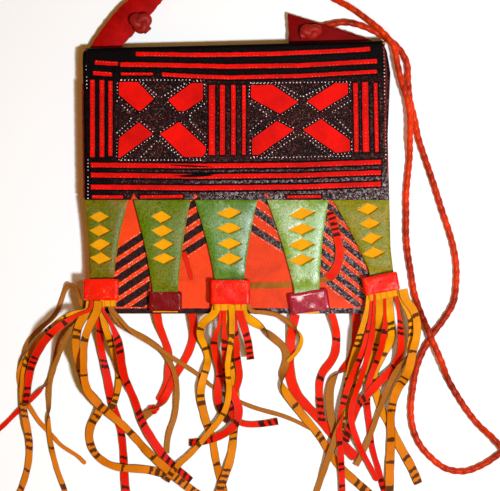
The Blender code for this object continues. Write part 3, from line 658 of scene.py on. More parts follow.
def leather(name, colour, roughness, grain, vary, shine):
    """Dyed leather: uneven dye, pores and fine creases."""
    n = Nodes(name, roughness)
    patches = n.ramp(n.noise(45, 5, 0.65, 0.4), 0.38, 0.66)
    base = n.mix(patches, colour, shade(colour, 1 - vary))
    pits = n.ramp(n.noise(1400, 2, 0.7), 0.56, 0.72)
    base = n.mix(n.product(pits, 0.35), base, shade(colour, 0.3))
    return n.finish(base, n.plus(n.product(n.cells(grain), 1.6), n.noise(260)), 0.35, shine)


def painted_black():
    """Black paint over brown leather, thick at the top and left and worn elsewhere, with a pricked grain and
    pale flecks low in the middle that are painted glare.
    """
    n = Nodes("painted_black", 0.3)
    c = colours()
    right, up = n.axes()
    worn_area = n.product(n.ramp(right, -84 * MM, -72 * MM), n.ramp(up, 70 * MM, 60 * MM))
    grain = n.ramp(n.noise(1100, 3, 0.8), 0.47, 0.6)
    patches = n.ramp(n.noise(90, 3), 0.3, 0.6)
    base = n.mix(n.product(grain, patches, worn_area, 0.9), tuple(c.black), tuple(c.worn))
    pale = n.ramp(n.noise(900, 3, 0.8), 0.6, 0.66)
    base = n.mix(n.product(pale, worn_area, 0.8), base, RUBBED_BROWN)
    # Pale flecks painted low in the middle of the flap, standing for glare
    base = glare_flecked(n, base, n.product(n.ramp(up, 14 * MM, -4 * MM), n.ramp(right, -45 * MM, -15 * MM)))
    return n.finish(base, n.plus(n.noise(1000, 3, 0.75), n.cells(800)), 0.6, 0.03)


def glare_flecked(n, base, area):
    """A base colour with pale flecks over an area: a painted glare, where glazed paint would catch the light.
    """
    flecks = n.ramp(n.noise(700, 4, 0.9), 0.52, 0.6)
    return n.mix(n.product(flecks, area, 0.75), base, GLARE_FLECK)


def front_black():
    """Black bars of the front, mottled, and with pale flecks of painted glare towards the right."""
    n = Nodes("front_black", 0.4)
    base = n.mix(n.ramp(n.noise(500, 4, 0.7), 0.4, 0.6), (0.01, 0.003, 0.003), (0.04, 0.014, 0.012))
    # Pale flecks painted over the right of the bars, standing for glare
    base = glare_flecked(n, base, n.ramp(n.axes()[0], -5 * MM, 30 * MM))
    return n.finish(base, n.plus(n.noise(1000, 3, 0.75), n.cells(700)), 0.4, 0.04)


def tongue_leather(name, colour, other, pale, shine):
    """Glazed green leather: blotched between two greens, with dark pits, and pale specks in places that are
    partly wear and partly painted glare.
    """
    n = Nodes(name, 0.3)
    blotches = n.ramp(n.noise(55, 5, 0.7, 0.6), 0.4, 0.62)
    pits = n.ramp(n.noise(700, 4, 0.75), 0.44, 0.62)
    base = n.mix(n.product(pits, 0.7), n.mix(blotches, colour, other), shade(colour, 0.3))
    # Pale specks: partly worn glaze, partly painted glare
    worn = n.product(n.ramp(n.noise(38, 4, 0.7, 0.8), 0.5, 0.66), n.ramp(n.noise(900, 3, 0.7), 0.42, 0.6))
    base = n.mix(n.product(worn, pale), base, WEAR_AND_GLARE_GREEN)
    return n.finish(base, n.plus(n.cells(900), n.noise(420, 4, 0.7)), 0.45, shine)


# Two greens of each tongue's facing, how far it is flecked pale and how much it shines. The paler greens and
# heavier pale flecks of tongues 3 and 4 are partly their own leather and partly painted glare.
TONGUE_GREENS = {
    1: ((0.23, 0.14, 0.003), (0.12, 0.17, 0.003), 0.15, 0.12),
    2: ((0.12, 0.2, 0.003), (0.2, 0.18, 0.003), 0.15, 0.12),
    3: ((0.13, 0.26, 0.01), (0.08, 0.2, 0.01), 0.5, 0.45),
    4: ((0.26, 0.4, 0.015), (0.18, 0.34, 0.01), 0.8, 0.7),
    5: ((0.35, 0.25, 0.003), (0.21, 0.24, 0.004), 0.1, 0.12),
}


def band_leather(name, colour, scuffed, gloss):
    """Glossy band leather: long fine cracks, and paint rubbed off along some of them."""
    n = Nodes(name, 0.25)
    line = n.maths("ABSOLUTE", n.maths("SUBTRACT", n.noise(120, 2, 0.4, 2.5), 0.5), 0.0)
    crack = n.ramp(line, 0.014, 0.0)
    rubbed = n.product(crack, n.ramp(n.noise(70, 2, 0.5), 0.46, 0.56))
    base = n.mix(n.ramp(n.noise(150), 0.4, 0.65), colour, shade(colour, 0.8))
    base = n.mix(n.product(rubbed, 0.75), base, scuffed)
    n.shader.inputs["Coat Weight"].default_value = gloss
    n.shader.inputs["Coat Roughness"].default_value = 0.12
    relief = n.maths("SUBTRACT", n.noise(260), n.product(crack, 0.5))
    return n.finish(base, relief, 0.5, 0.1, distance=0.6 * MM)


def lace_leather(name, near, far, bar_colour, flesh):
    """A lace: one side dyed from one colour to another along it, with painted bars, the other undyed, and a
    painted shade along its cut edges.
    """
    n = Nodes(name, 0.5)
    dyed = n.mix(n.attribute("tone"), near, far)
    dyed = n.mix(n.product(n.ramp(n.noise(70), 0.35, 0.7), 0.6), dyed, shade(far, 0.7))
    fuzzy = n.plus(n.attribute("bar"), n.product(n.noise(1500, 2), 0.5))
    dyed = n.mix(n.product(n.ramp(fuzzy, 0.62, 0.9), 0.92), dyed, bar_colour)
    side = n.attribute("flesh")
    undyed = n.mix(n.noise(500, 4, 0.7), flesh, shade(flesh, 0.55))
    # The cut edges are painted dark, as shade
    undyed = n.mix(n.ramp(side, 1.3, 1.5), undyed, PAINTED_EDGE_SHADE)
    base = n.mix(n.ramp(side, 0.4, 0.6), dyed, undyed)
    return n.finish(base, n.plus(n.noise(900, 3, 0.7), n.cells(1100)), 0.4, 0.05)


def material(name):
    """A finish by its name, made once."""
    found = bpy.data.materials.get(name)
    if found is not None:
        return found
    c = colours()
    if name == "painted_black":
        return painted_black()
    if name == "front_black":
        return front_black()
    if name == "pricked_mark":
        # The marks' pale colours are partly painted glints of light in the dents
        return mark_glint_material(name, (0.97, 0.9, 0.86), (0.85, 0.62, 0.55))
    if name == "stripe_mark_glint":
        return mark_glint_material(name, (0.95, 0.5, 0.3), (0.9, 0.14, 0.05))
    if name == "lace_yellow":
        return lace_leather(name, tuple(c.yellow), (0.7, 0.17, 0.001), (0.05, 0.012, 0.001), tuple(c.flesh))
    if name == "lace_red":
        return lace_leather(name, (0.9, 0.02, 0.002), tuple(c.lace_red), (0.012, 0.003, 0.002),
                            tuple(c.flesh))
    if name.startswith("tongue_green"):
        return tongue_leather(name, *TONGUE_GREENS[int(name[-1])])
    if name == "band_red":
        return band_leather(name, tuple(c.band_red), (0.9, 0.3, 0.08), 0.03)
    if name == "band_maroon":
        return band_leather(name, tuple(c.maroon), (0.6, 0.3, 0.16), 0.25)
    if name == "band_crimson":
        return band_leather(name, (0.4, 0.004, 0.025), (0.7, 0.3, 0.16), 0.8)
    recipes = {
        "flap_red": (tuple(c.red), 0.5, 700, 0.35, 0.04),
        "flap_edge_black": ((0.002, 0.001, 0.001), 0.5, 700, 0.2, 0.03),
        "flap_edge_red": ((0.2, 0.01, 0.006), 0.5, 700, 0.6, 0.05),
        "ear_red": ((0.5, 0.002, 0.001), 0.6, 700, 0.5, 0.05),
        "front_red": (tuple(c.front_red), 0.4, 700, 0.3, 0.07),
        "window_yellow": ((0.98, 0.38, 0.001), 0.6, 800, 0.2, 0.05),
        # The tongues' cut edges, painted near black as shade
        "tongue_rim": ((0.05, 0.02, 0.006), 0.7, 800, 0.4, 0.05),
        "fringe_yellow": ((0.95, 0.36, 0.002), 0.6, 800, 0.3, 0.08),
        "ear_maroon": ((0.24, 0.001, 0.001), 0.6, 700, 0.5, 0.05),
        "strap_red": (tuple(c.strap), 0.35, 900, 0.75, 0.14),
        "knot_red": ((0.42, 0.01, 0.004), 0.5, 900, 0.5, 0.2),
        "raw_edge": ((0.55, 0.27, 0.05), 0.8, 1500, 0.5, 0.1),
        "flesh_side": (tuple(c.flesh), 0.8, 1500, 0.5, 0.1),
        "gusset_red": ((0.6, 0.01, 0.004), 0.5, 900, 0.4, 0.2),
        "pouch_black": ((0.012, 0.006, 0.005), 0.5, 800, 0.4, 0.25),
    }
    return leather(name, *recipes[name])


def mark_glint_material(name, bright, dull):
    """The pale marks: partly the bare leather in each pricked dent, partly a painted glint of light on it."""
    n = Nodes(name, 0.5)
    n.colour(n.mix(n.ramp(n.noise(300, 2), 0.42, 0.6), bright, dull))
    return n.material


def ripple(x, y):
    """The gentle rise and dip of the flap's leather."""
    wave = math.sin(x / (14 * MM) + 1.3 * math.sin(y / (21 * MM)))
    wave += 0.8 * math.sin(y / (15 * MM) + x / (27 * MM))
    return sizes().ripple * (1.8 + wave)


def flap_surface(x, y):
    """Height of the flap's top, which lies flat at its lower edge, where the tongues begin."""
    return FLAP_TOP + ripple(x, y) * clamp((y - FLAP_EDGE_Y) / RIPPLE_FADE)


def front_surface(x, y):
    """Height of the front panel's top, which is level."""
    return FRONT_TOP


def on_flap_edge(x):
    """Height of the flap's lower edge at a place along it, with its notches between the tongues."""
    y = FLAP_EDGE_Y
    for before, after in zip(TONGUES, TONGUES[1:]):
        centre = (before.right + after.left) / 2 * MM
        half = max(abs(after.left - before.right) * MM / 2, NARROWEST_NOTCH / 2)
        y = max(y, FLAP_EDGE_Y + NOTCH_RISE * max(0.0, 1 - abs(x - centre) / half))
    return y


# How far the flap's sides stand out past the straight pattern: the distance below its top edge, and the left
# and right sides there, in millimetres
SIDE_SHIFTS = [(0, -2.6, -1.2), (2, -0.2, 0), (5, 0.9, 0.8), (10, 1.3, 1.6), (18, 1.3, 2.6), (30, 1.5, 1.8),
               (60, 1.8, -0.2), (100, 2.2, -0.9)]


def side_shift(y, side):
    """How far the flap's left or right side stands out at a height."""
    below = (V_TOP - y) / MM
    return np.interp(below, [row[0] for row in SIDE_SHIFTS], [row[1 + side] for row in SIDE_SHIFTS]) * MM


def settle(piece, body, node=None):
    """Tell the frame the solid that a piece stands for and the body that it rides on."""
    if node:
        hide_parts(node)
    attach(piece, body)


def add_modifier(piece, kind, **values):
    """Add a modifier with its values."""
    modifier = piece.modifiers.new(kind.lower(), kind)
    for key, value in values.items():
        setattr(modifier, key, value)


def closed_piece(name, corners, faces, finish):
    """A closed piece of one finish, its faces turned outwards and shaded soft."""
    piece = mesh_object(name, corners, faces, [finish])
    outward(piece)
    smooth(piece, SOFT_ANGLE)
    return piece


def mesh_of(shape, name):
    """A mesh from a finished bmesh."""
    mesh = bpy.data.meshes.new(name)
    shape.to_mesh(mesh)
    shape.free()
    return mesh


def add_prism(shape, outline, low, high):
    """A closed block between two heights of an outline. Each height is a function of the place."""
    top = [shape.verts.new((x, y, high(x, y))) for x, y in outline]
    bottom = [shape.verts.new((x, y, low(x, y))) for x, y in outline]
    shape.faces.new(top)
    shape.faces.new(bottom[::-1])
    for i in range(len(top)):
        j = (i + 1) % len(top)
        shape.faces.new((top[i], bottom[i], bottom[j], top[j]))


def grid_faces(first, rows, columns):
    """Faces of a grid of corners, row by row from the top."""
    return [[first + r * columns + c, first + (r + 1) * columns + c, first + (r + 1) * columns + c + 1,
             first + r * columns + c + 1] for r in range(rows - 1) for c in range(columns - 1)]


def tongue_levels(tongue, end_y):
    """Rows down a tongue: its level, its left and right sides and how far it has risen."""
    band_top = (tongue.band_y + tongue.band_length / 2 + abs(tongue.turn) / 5) * MM
    rows = []
    for i in range(TONGUE_ROWS + 1):
        y = FLAP_EDGE_Y + (end_y - FLAP_EDGE_Y) * i / TONGUE_ROWS
        share = min(1.0, (y - FLAP_EDGE_Y) / (band_top - FLAP_EDGE_Y))
        waist = TONGUE_WAIST * math.sin(math.pi * share)
        left = tongue.left * MM * (1 - share) + (tongue.end_x - tongue.end_width / 2) * MM * share + waist
        right = tongue.right * MM * (1 - share) + (tongue.end_x + tongue.end_width / 2) * MM * share - waist
        if tongue is TONGUES[0]:
            left -= side_shift(y, 0) * (1 - share)
        rows.append((y, left, right, TONGUE_LIFT * ease((band_top + LIFT_RUN - y) / LIFT_RUN)))
    return rows


def jittered(points, rng, step=1.6 * MM, wobble=0.14 * MM):
    """An outline with points at an even step, each a little off, as if painted by hand."""
    result = []
    for i, a in enumerate(points):
        b = points[(i + 1) % len(points)]
        count = max(1, round(math.dist(a, b) / step))
        for k in range(count):
            share = k / count
            result.append((a[0] + (b[0] - a[0]) * share + rng.uniform(-wobble, wobble),
                           a[1] + (b[1] - a[1]) * share + rng.uniform(-wobble, wobble)))
    return result


def stripe_outline(points, width):
    """The outline of a stripe along a line of points."""
    left = []
    right = []
    for i, p in enumerate(points):
        a = Vector(points[max(i - 1, 0)])
        b = Vector(points[min(i + 1, len(points) - 1)])
        along = (b - a).normalized()
        side = Vector((-along.y, along.x)) * width / 2
        left.append((p[0] + side.x, p[1] + side.y))
        right.append((p[0] - side.x, p[1] - side.y))
    return left + right[::-1]


def turned_left(points):
    """Twice the area of an outline, which is more than nought if its points run anticlockwise."""
    return sum(a[0] * b[1] - b[0] * a[1] for a, b in zip(points, points[1:] + points[:1]))


def outset(points, distance):
    """An outline moved outwards by a distance."""
    sign = 1 if turned_left(points) > 0 else -1
    moved = []
    for i, p in enumerate(points):
        one = (Vector(p) - Vector(points[i - 1])).normalized()
        two = (Vector(points[(i + 1) % len(points)]) - Vector(p)).normalized()
        out = Vector((one.y + two.y, -one.x - two.x)).normalized() * distance * sign
        moved.append((p[0] + out.x, p[1] + out.y))
    return moved


def add_fields(name, outlines, surface, finish, seed, body, wobble=0.14 * MM, share=1.0):
    """Fields of colour that lie on a surface, each a thin raised plate with hand-painted edges."""
    rng = random.Random(seed)
    relief = sizes().paint * share
    shape = bmesh.new()
    for outline in outlines:
        add_prism(shape, jittered(outline, rng, wobble=wobble), lambda x, y: surface(x, y) - relief,
                  lambda x, y: surface(x, y) + relief)
    bmesh.ops.triangulate(shape, faces=[f for f in shape.faces if len(f.verts) > 4])
    bmesh.ops.recalc_face_normals(shape, faces=shape.faces)
    piece = new_object(name, mesh_of(shape, name), [material(finish)])
    smooth(piece, 30)
    settle(piece, body)
    return piece


def add_marks(name, places, surface, seed, body, finish="pricked_mark"):
    """Pricked marks: small six-sided domes, each a little different."""
    rng = random.Random(seed)
    size = sizes().mark
    corners = []
    faces = []
    for x, y in places:
        first = len(corners)
        radius = size * rng.uniform(0.6, 0.95)
        turn = rng.uniform(0, math.pi)
        stretch = rng.uniform(0.7, 1.2)
        z = surface(x, y)
        for i in range(6):
            angle = turn + math.pi * i / 3
            corners.append((x + radius * stretch * math.cos(angle), y + radius * math.sin(angle),
                            z - MARK_DEPTH))
        corners.append((x, y, z + MARK_RISE))
        faces += [[first + i, first + (i + 1) % 6, first + 6] for i in range(6)]
        faces.append([first + i for i in reversed(range(6))])
    piece = mesh_object(name, corners, faces, [material(finish)], smooth_angle=80)
    settle(piece, body)
    return piece


def along_outline(outline, spacing, offset, rng, closed=True, keep=0.85):
    """Places at an even spacing along an outline, moved outwards from it."""
    places = []
    count = len(outline) if closed else len(outline) - 1
    sign = -1 if turned_left(outline) > 0 else 1
    for i in range(count):
        a = Vector(outline[i])
        b = Vector(outline[(i + 1) % len(outline)])
        length = (b - a).length
        if length < spacing / 2:
            continue
        along = (b - a) / length
        side = Vector((-along.y, along.x)) * offset * sign
        steps = max(1, round(length / spacing))
        for k in range(steps):
            if rng.random() > keep:
                continue
            p = a + (b - a) * ((k + 0.5) / steps) + side
            places.append((p.x + rng.uniform(-0.1, 0.1) * MM, p.y + rng.uniform(-0.1, 0.1) * MM))
    return places


# Red stripes of the flap in the photograph's pixels: the line of each and its width
FLAP_STRIPES = [
    (((136, 54), (200, 55), (270, 54), (340, 51), (370, 49)), 4.2),
    (((95, 62.5), (118, 64)), 4.0),
    (((120.5, 64.5), (160, 65), (230, 66.5), (300, 65.5), (377, 61)), 4.4),
    (((93, 73), (112, 74.5)), 4.0),
    (((121, 74), (153, 74)), 2.6),
    (((162, 74.5), (200, 76.5), (230, 77.5), (300, 76), (377, 71.5)), 3.8),
    (((91, 165), (200, 166), (300, 165), (381, 162)), 4.6),
    (((91, 175), (200, 176.5), (300, 175.5), (381, 172.5)), 4.6),
    (((91, 187), (200, 188), (300, 187), (381, 184)), 4.8),
    (((92, 197), (123, 197)), 3.2),
    (((140, 197), (183, 196.5)), 3.2),
    (((287, 197), (321, 196.5)), 3.0),
    (((92.5, 80), (92.5, 157)), 4.6),
    (((102, 80), (102, 157)), 4.6),
    (((110.5, 81), (110.5, 156)), 4.0),
    (((212, 85), (212, 155)), 6.0),
    (((222.5, 85), (222.5, 155)), 5.0),
    (((233.5, 85), (233.5, 155)), 4.2),
    (((244, 85), (244, 155)), 3.6),
    (((355.5, 83), (356.5, 152)), 4.4),
    (((365, 82), (366, 152)), 6.0),
    (((375.5, 83), (377, 152)), 3.6),
]
# Red fields of the two crossed motifs
FLAP_FIELDS = [
    ((119, 82), (138, 82), (154, 99), (141, 111), (138, 111), (119, 95)),
    ((192, 83), (203, 83), (203, 99), (185, 111), (178, 111), (168, 100)),
    ((139, 122), (153, 134), (120, 158), (118, 158), (119, 138)),
    ((179, 122), (206, 147), (206, 152), (202, 157), (184, 157), (160, 134)),
    ((251, 85), (273, 85), (298, 102), (280, 114), (251, 98)),
    ((335, 83), (348, 83), (348, 94), (320, 111), (307, 101)),
    ((277, 121), (294, 130), (259, 155), (252, 155), (252, 139)),
    ((321, 119), (350, 140), (350, 151), (336, 153), (303, 130)),
]
# Rows of marks that lie in the black, away from any field
MARK_LINES = [
    ((116, 80), (206, 80)), ((116, 160), (206, 160)), ((249, 83), (352, 82)), ((249, 158), (352, 156)),
    ((116, 100), (131, 113), (131, 120), (116, 134)), ((206, 103), (190, 114), (190, 121), (206, 138)),
    ((142, 82), (160, 98), (186, 83)), ((140, 158), (158, 140), (182, 158)),
    ((249, 103), (268, 115), (249, 132)), ((352, 100), (331, 113), (352, 134)),
    ((277, 83), (302, 97), (330, 83)), ((265, 157), (300, 134), (332, 156)),
    ((88, 158), (88, 200)), ((384, 50), (386, 160)), ((86, 64), (87, 90)),
]
# Dark red lines just inside the flap's two sides
EDGE_LINES = [
    (((82.5, 84), (83, 120), (83.5, 160), (84, 198)), 1.6),
    (((383.5, 46), (386, 70), (385.5, 110), (384.5, 146)), 1.8),
]
LEVEL_STRIPES = 12  # the first stripes run across the flap, and their marks keep to one side
OUTLINE_WIDTH = 1.3 * MM
MARK_SPACING = 2.3 * MM
MARK_OFFSET = 1.0 * MM
MARK_DEPTH = 0.05 * MM
MARK_RISE = 0.26 * MM


def from_photo(points):
    """Places on the bag from places in the photograph."""
    return [spot(*p) for p in points]


def from_photo_stripes(stripes):
    """Outlines of stripes from their lines and widths in the photograph."""
    return [stripe_outline(from_photo(points), width * PIXEL) for points, width in stripes]


def fold_profile():
    """The fold seen from its side, from the spine over the top edge: how far up the bag, and how high."""
    edge = V_TOP + FOLD_OUT
    profile = [(edge, z * MM) for z in FOLD_LEVELS]
    for i in range(9):
        angle = math.pi / 2 * i / 8
        profile.append((edge - FOLD_RADIUS * (1 - math.cos(angle)),
                        FLAP_TOP - FOLD_RADIUS + FOLD_RADIUS * math.sin(angle)))
    return profile


class BAG_OT_flap(Operator):
    """Build the flap: one painted sheet folded over the top edge, with yellow tongues"""

    bl_idname = "bag.flap"
    bl_label = "Flap"

    def execute(self, context):
        profile = fold_profile()
        corners, faces, slots = self.sheet(profile)
        # Slot 4 paints the tongues' cut edges dark as shade
        materials = [material(n) for n in ("painted_black", "flap_edge_red", "flesh_side", "window_yellow",
                                           "tongue_rim", "flesh_side")]
        piece = mesh_object("flap_leather", corners, faces, materials, slots)
        thicken(piece, FLAP_THICKNESS - 0.1 * MM, rim_slot=1, back_slot=2)
        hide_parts("flap")
        outwards = HINGE_AXIS.cross(Vector((0, 0, 1))).normalized()
        if outwards.y < 0:
            outwards = -outwards
        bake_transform(piece)
        self.paint_and_marks()
        return {"FINISHED"}

    def sheet(self, profile):
        """Corners, faces and finishes of the flap's top, with its fold and then its tongues."""
        columns = 99
        rows = 54
        rim_height = FOLD_LEVELS[-1] * MM
        corners = []
        for v, z in profile[:-1]:
            share = max(0.0, (z - rim_height) / (FLAP_TOP - rim_height))
            for c in range(columns):
                x, y = on_bag(across_bag(c, columns) * (1 - FOLD_NARROWING * share), v)
                corners.append((x, y, z + ripple(x, y) * share))
        for r in range(rows):
            for c in range(columns):
                u = across_bag(c, columns)
                x, y_top = on_bag(u, profile[-1][0])
                t = r / (rows - 1)
                y = y_top * (1 - t) + on_flap_edge(x) * t
                x = on_bag(u, y)[0]
                edge = math.copysign(abs(u / (BAG_WIDTH / 2)) ** 9, u)
                x += side_shift(y, 0 if u < 0 else 1) * edge
                corners.append((x, y, flap_surface(x, y)))
        faces = grid_faces(0, len(profile) - 1 + rows, columns)
        slots = [0] * len(faces)
        across = 9
        for tongue in TONGUES:
            levels = tongue_levels(tongue, tongue.end_y * MM)
            new = grid_faces(len(corners), len(levels), across)
            for y, left, right, lift in levels:
                corners += [(left + (right - left) * k / (across - 1), y, FLAP_TOP + lift)
                            for k in range(across)]
            faces += new
            slots += [3] * len(new)
        return corners, faces, slots

    def paint_and_marks(self):
        """The flap's fields and stripes of colour, its rows of marks and its dark red edge lines."""
        stripes = from_photo_stripes(FLAP_STRIPES)
        fields = [from_photo(points) for points in FLAP_FIELDS]
        rng = random.Random(11)
        around = [outset(outline, OUTLINE_WIDTH) for outline in stripes + fields]
        dark = add_fields("flap_black_outlines", around, flap_surface, "flap_edge_black", 4,
                          FLAP, share=0.6)
        paint = add_fields("flap_red_fields", stripes + fields, flap_surface, "flap_red", 3,
                           FLAP)
        places = []
        for outline in fields:
            places += along_outline(outline, MARK_SPACING, MARK_OFFSET, rng, keep=0.95)
        for line in MARK_LINES:
            places += along_outline(from_photo(line), MARK_SPACING, 0, rng, closed=False, keep=0.95)
        marks = add_marks("flap_marks", places, flap_surface, 5, FLAP)
        places = []
        for number, (points, width) in enumerate(FLAP_STRIPES):
            inset = (width * PIXEL / 2 - 0.5 * MM) if number < LEVEL_STRIPES else 0
            places += along_outline(from_photo(points), MARK_SPACING, inset, rng, closed=False, keep=0.8)
        dots = add_marks("flap_stripe_marks", places, flap_surface, 6, FLAP, "stripe_mark_glint")
        edge = add_fields("flap_edge_lines", from_photo_stripes(EDGE_LINES), flap_surface, "flap_edge_red", 8,
                          FLAP)
        return [dark, paint, marks, dots, edge]


class BAG_OT_pouch(Operator):
    """Build the back panel with its spine, and give the gusset its leather"""

    bl_idname = "bag.pouch"
    bl_label = "Pouch"

    def execute(self, context):
        columns = 41
        rows = 37
        sheet = mesh_object("back_leather", panel_corners(V_TOP, BACK_THICKNESS, columns, rows),
                            grid_faces(0, rows, columns),
                            [material("pouch_black"), material("raw_edge"), material("flesh_side")])
        thicken(sheet, BACK_THICKNESS, rim_slot=1, bevel=0.4 * MM)
        settle(sheet, POUCH, "back_panel")

        levels = 8
        across = 60
        low = BACK_THICKNESS - 0.2 * MM
        rise = FRONT_TOP - 0.4 * MM - BACK_THICKNESS
        corners = [(*on_bag(across_bag(c, across), V_TOP), low + rise * i / (levels - 1))
                   for i in range(levels) for c in range(across)]
        spine = mesh_object("spine_leather", corners, grid_faces(0, levels, across),
                            [material("pouch_black"), material("raw_edge")])
        thicken(spine, SPINE_THICKNESS, rim_slot=1)
        outward(spine)
        settle(spine, POUCH)

        gusset = bpy.data.objects.get("gusset")
        gusset.data.materials.clear()
        gusset.data.materials.append(material("gusset_red"))
        return {"FINISHED"}


def above_line(points, limit):
    """The part of an outline above a level line, in the photograph's pixels, which count downwards."""
    kept = []
    for i, p in enumerate(points):
        q = points[(i + 1) % len(points)]
        if p[1] <= limit:
            kept.append(p)
        if (p[1] <= limit) != (q[1] <= limit):
            share = (limit - p[1]) / (q[1] - p[1])
            kept.append((p[0] + (q[0] - p[0]) * share, limit))
    return kept


def slanted_bars(left, right, first, count, pitch, width, slope, lowest):
    """Slanted bars between two sides of a gap, one under another, in the photograph's pixels.

    first is where the first bar's upper edge meets the right side, and slope how far a bar drops to the left.
    """
    bars = []
    drop = slope * (right - left)
    for i in range(count):
        y = first + i * pitch
        corners = [(left, y + drop), (right, y), (right, y + width), (left, y + drop + width)]
        outline = above_line(corners, lowest)
        if len(outline) > 2:
            bars.append(from_photo(outline))
    return bars


class BAG_OT_front(Operator):
    """Build the front panel with its painted bars, its thongs and its dark hem"""

    bl_idname = "bag.front"
    bl_label = "Front Panel"

    def execute(self, context):
        mouth = V_TOP - SPINE_THICKNESS - MOUTH
        columns = 41
        rows = 33
        sheet = mesh_object("front_leather", panel_corners(mouth, FRONT_TOP, columns, rows),
                            grid_faces(0, rows, columns),
                            [material("front_red"), material("front_black"), material("flesh_side")])
        thicken(sheet, FRONT_THICKNESS, rim_slot=1, bevel=0.4 * MM)
        settle(sheet, POUCH, "front_panel")

        bars = [bar for group in FRONT_BARS for bar in slanted_bars(*group)]
        add_fields("front_black_bars", bars, front_surface, "front_black", 21, POUCH,
                   wobble=0.22 * MM)
        rng = random.Random(24)
        places = []
        for bar in bars:
            places += along_outline(bar, MARK_SPACING * 0.6, 0.6 * MM, rng, keep=0.6)
        add_marks("front_marks", places, front_surface, 25, POUCH, "stripe_mark_glint")

        for name, points, width, code in FRONT_THONGS:
            self.add_thong(name, points, width, code)
        u = BAG_WIDTH / 2 - 0.1 * MM
        v = V_BOTTOM + 0.1 * MM
        hem = [[on_bag(-u, v), on_bag(u, v), on_bag(u, v + HEM), on_bag(-u, v + HEM)],
               [on_bag(u, v), on_bag(u, 0), on_bag(u - HEM, 0), on_bag(u - HEM, v)],
               [on_bag(-u, v), on_bag(-u + HEM / 2, v), on_bag(-u + HEM / 2, 0), on_bag(-u, 0)]]
        add_fields("front_dark_hem", hem, front_surface, "front_black", 22, POUCH)
        strips = [stripe_outline(from_photo(points), width) for points, width in FLAT_LACE]
        add_fields("front_flat_lace", strips, front_surface, "flesh_side", 23, POUCH,
                   share=1.8)
        return {"FINISHED"}

    def add_thong(self, name, points, width, code):
        """A short thong that lies flat on the front panel, with both ends drawn through it."""
        dense = smooth_route([(x / MM, y / MM) for x, y in from_photo(points)], LACE_STEP)
        line = []
        for i, (x, y) in enumerate(dense):
            sunk = (1 - math.sin(math.pi * i / (len(dense) - 1))) ** 3
            line.append(Vector((x, y, FRONT_TOP + 0.1 * MM - 0.5 * MM * sunk + LACE_THICKNESS / 2)))
        piece = build_strip(name, line, width * MM, code, random.Random(name))
        settle(piece, POUCH)


# Groups of slanted black bars on the front, in the photograph's pixels, as slanted_bars takes them
FRONT_BARS = [
    (111, 150, 227, 9, 13.4, 8.2, 0.66, 307),
    (182, 208, 190, 4, 14.6, 8.0, 0.66, 256),
    (248, 292, 249, 1, 14, 8, -0.62, 307),
    (248, 292, 233, 1, 14, 8, -0.72, 307),
    (248, 292, 217, 1, 14, 8, -0.8, 307),
    (319, 372, 212, 9, 12.6, 7.4, -0.8, 307),
]
# The brown thong that lies flat on the front: its lines in the photograph's pixels, and their widths
FLAT_LACE = [
    (((249, 285.5), (270, 285.5), (291, 284.5)), 4.2 * MM),
    (((319, 281), (329, 278), (334, 272)), 3.6 * MM),
]
# Thongs drawn through the front panel: name, line in the photograph's pixels, width in millimetres and finish,
# r for red and t for bars near its top
FRONT_THONGS = [
    ("front_thong_red", ((330, 212), (333.5, 222), (337, 236), (339.5, 250), (338.5, 262), (334, 272),
                         (328, 279)), 6.2, "rt"),
    ("front_thong_left", ((184, 252), (187, 262), (190, 272), (191.5, 280)), 3.2, "r"),
]


def tongue_place(tongue):
    """The frame of a tongue's band: its centre, turned with it."""
    place = Matrix.Translation((tongue.band_x * MM, tongue.band_y * MM, FLAP_LOW))
    return place @ Matrix.Rotation(math.radians(tongue.turn), 4, "Z")


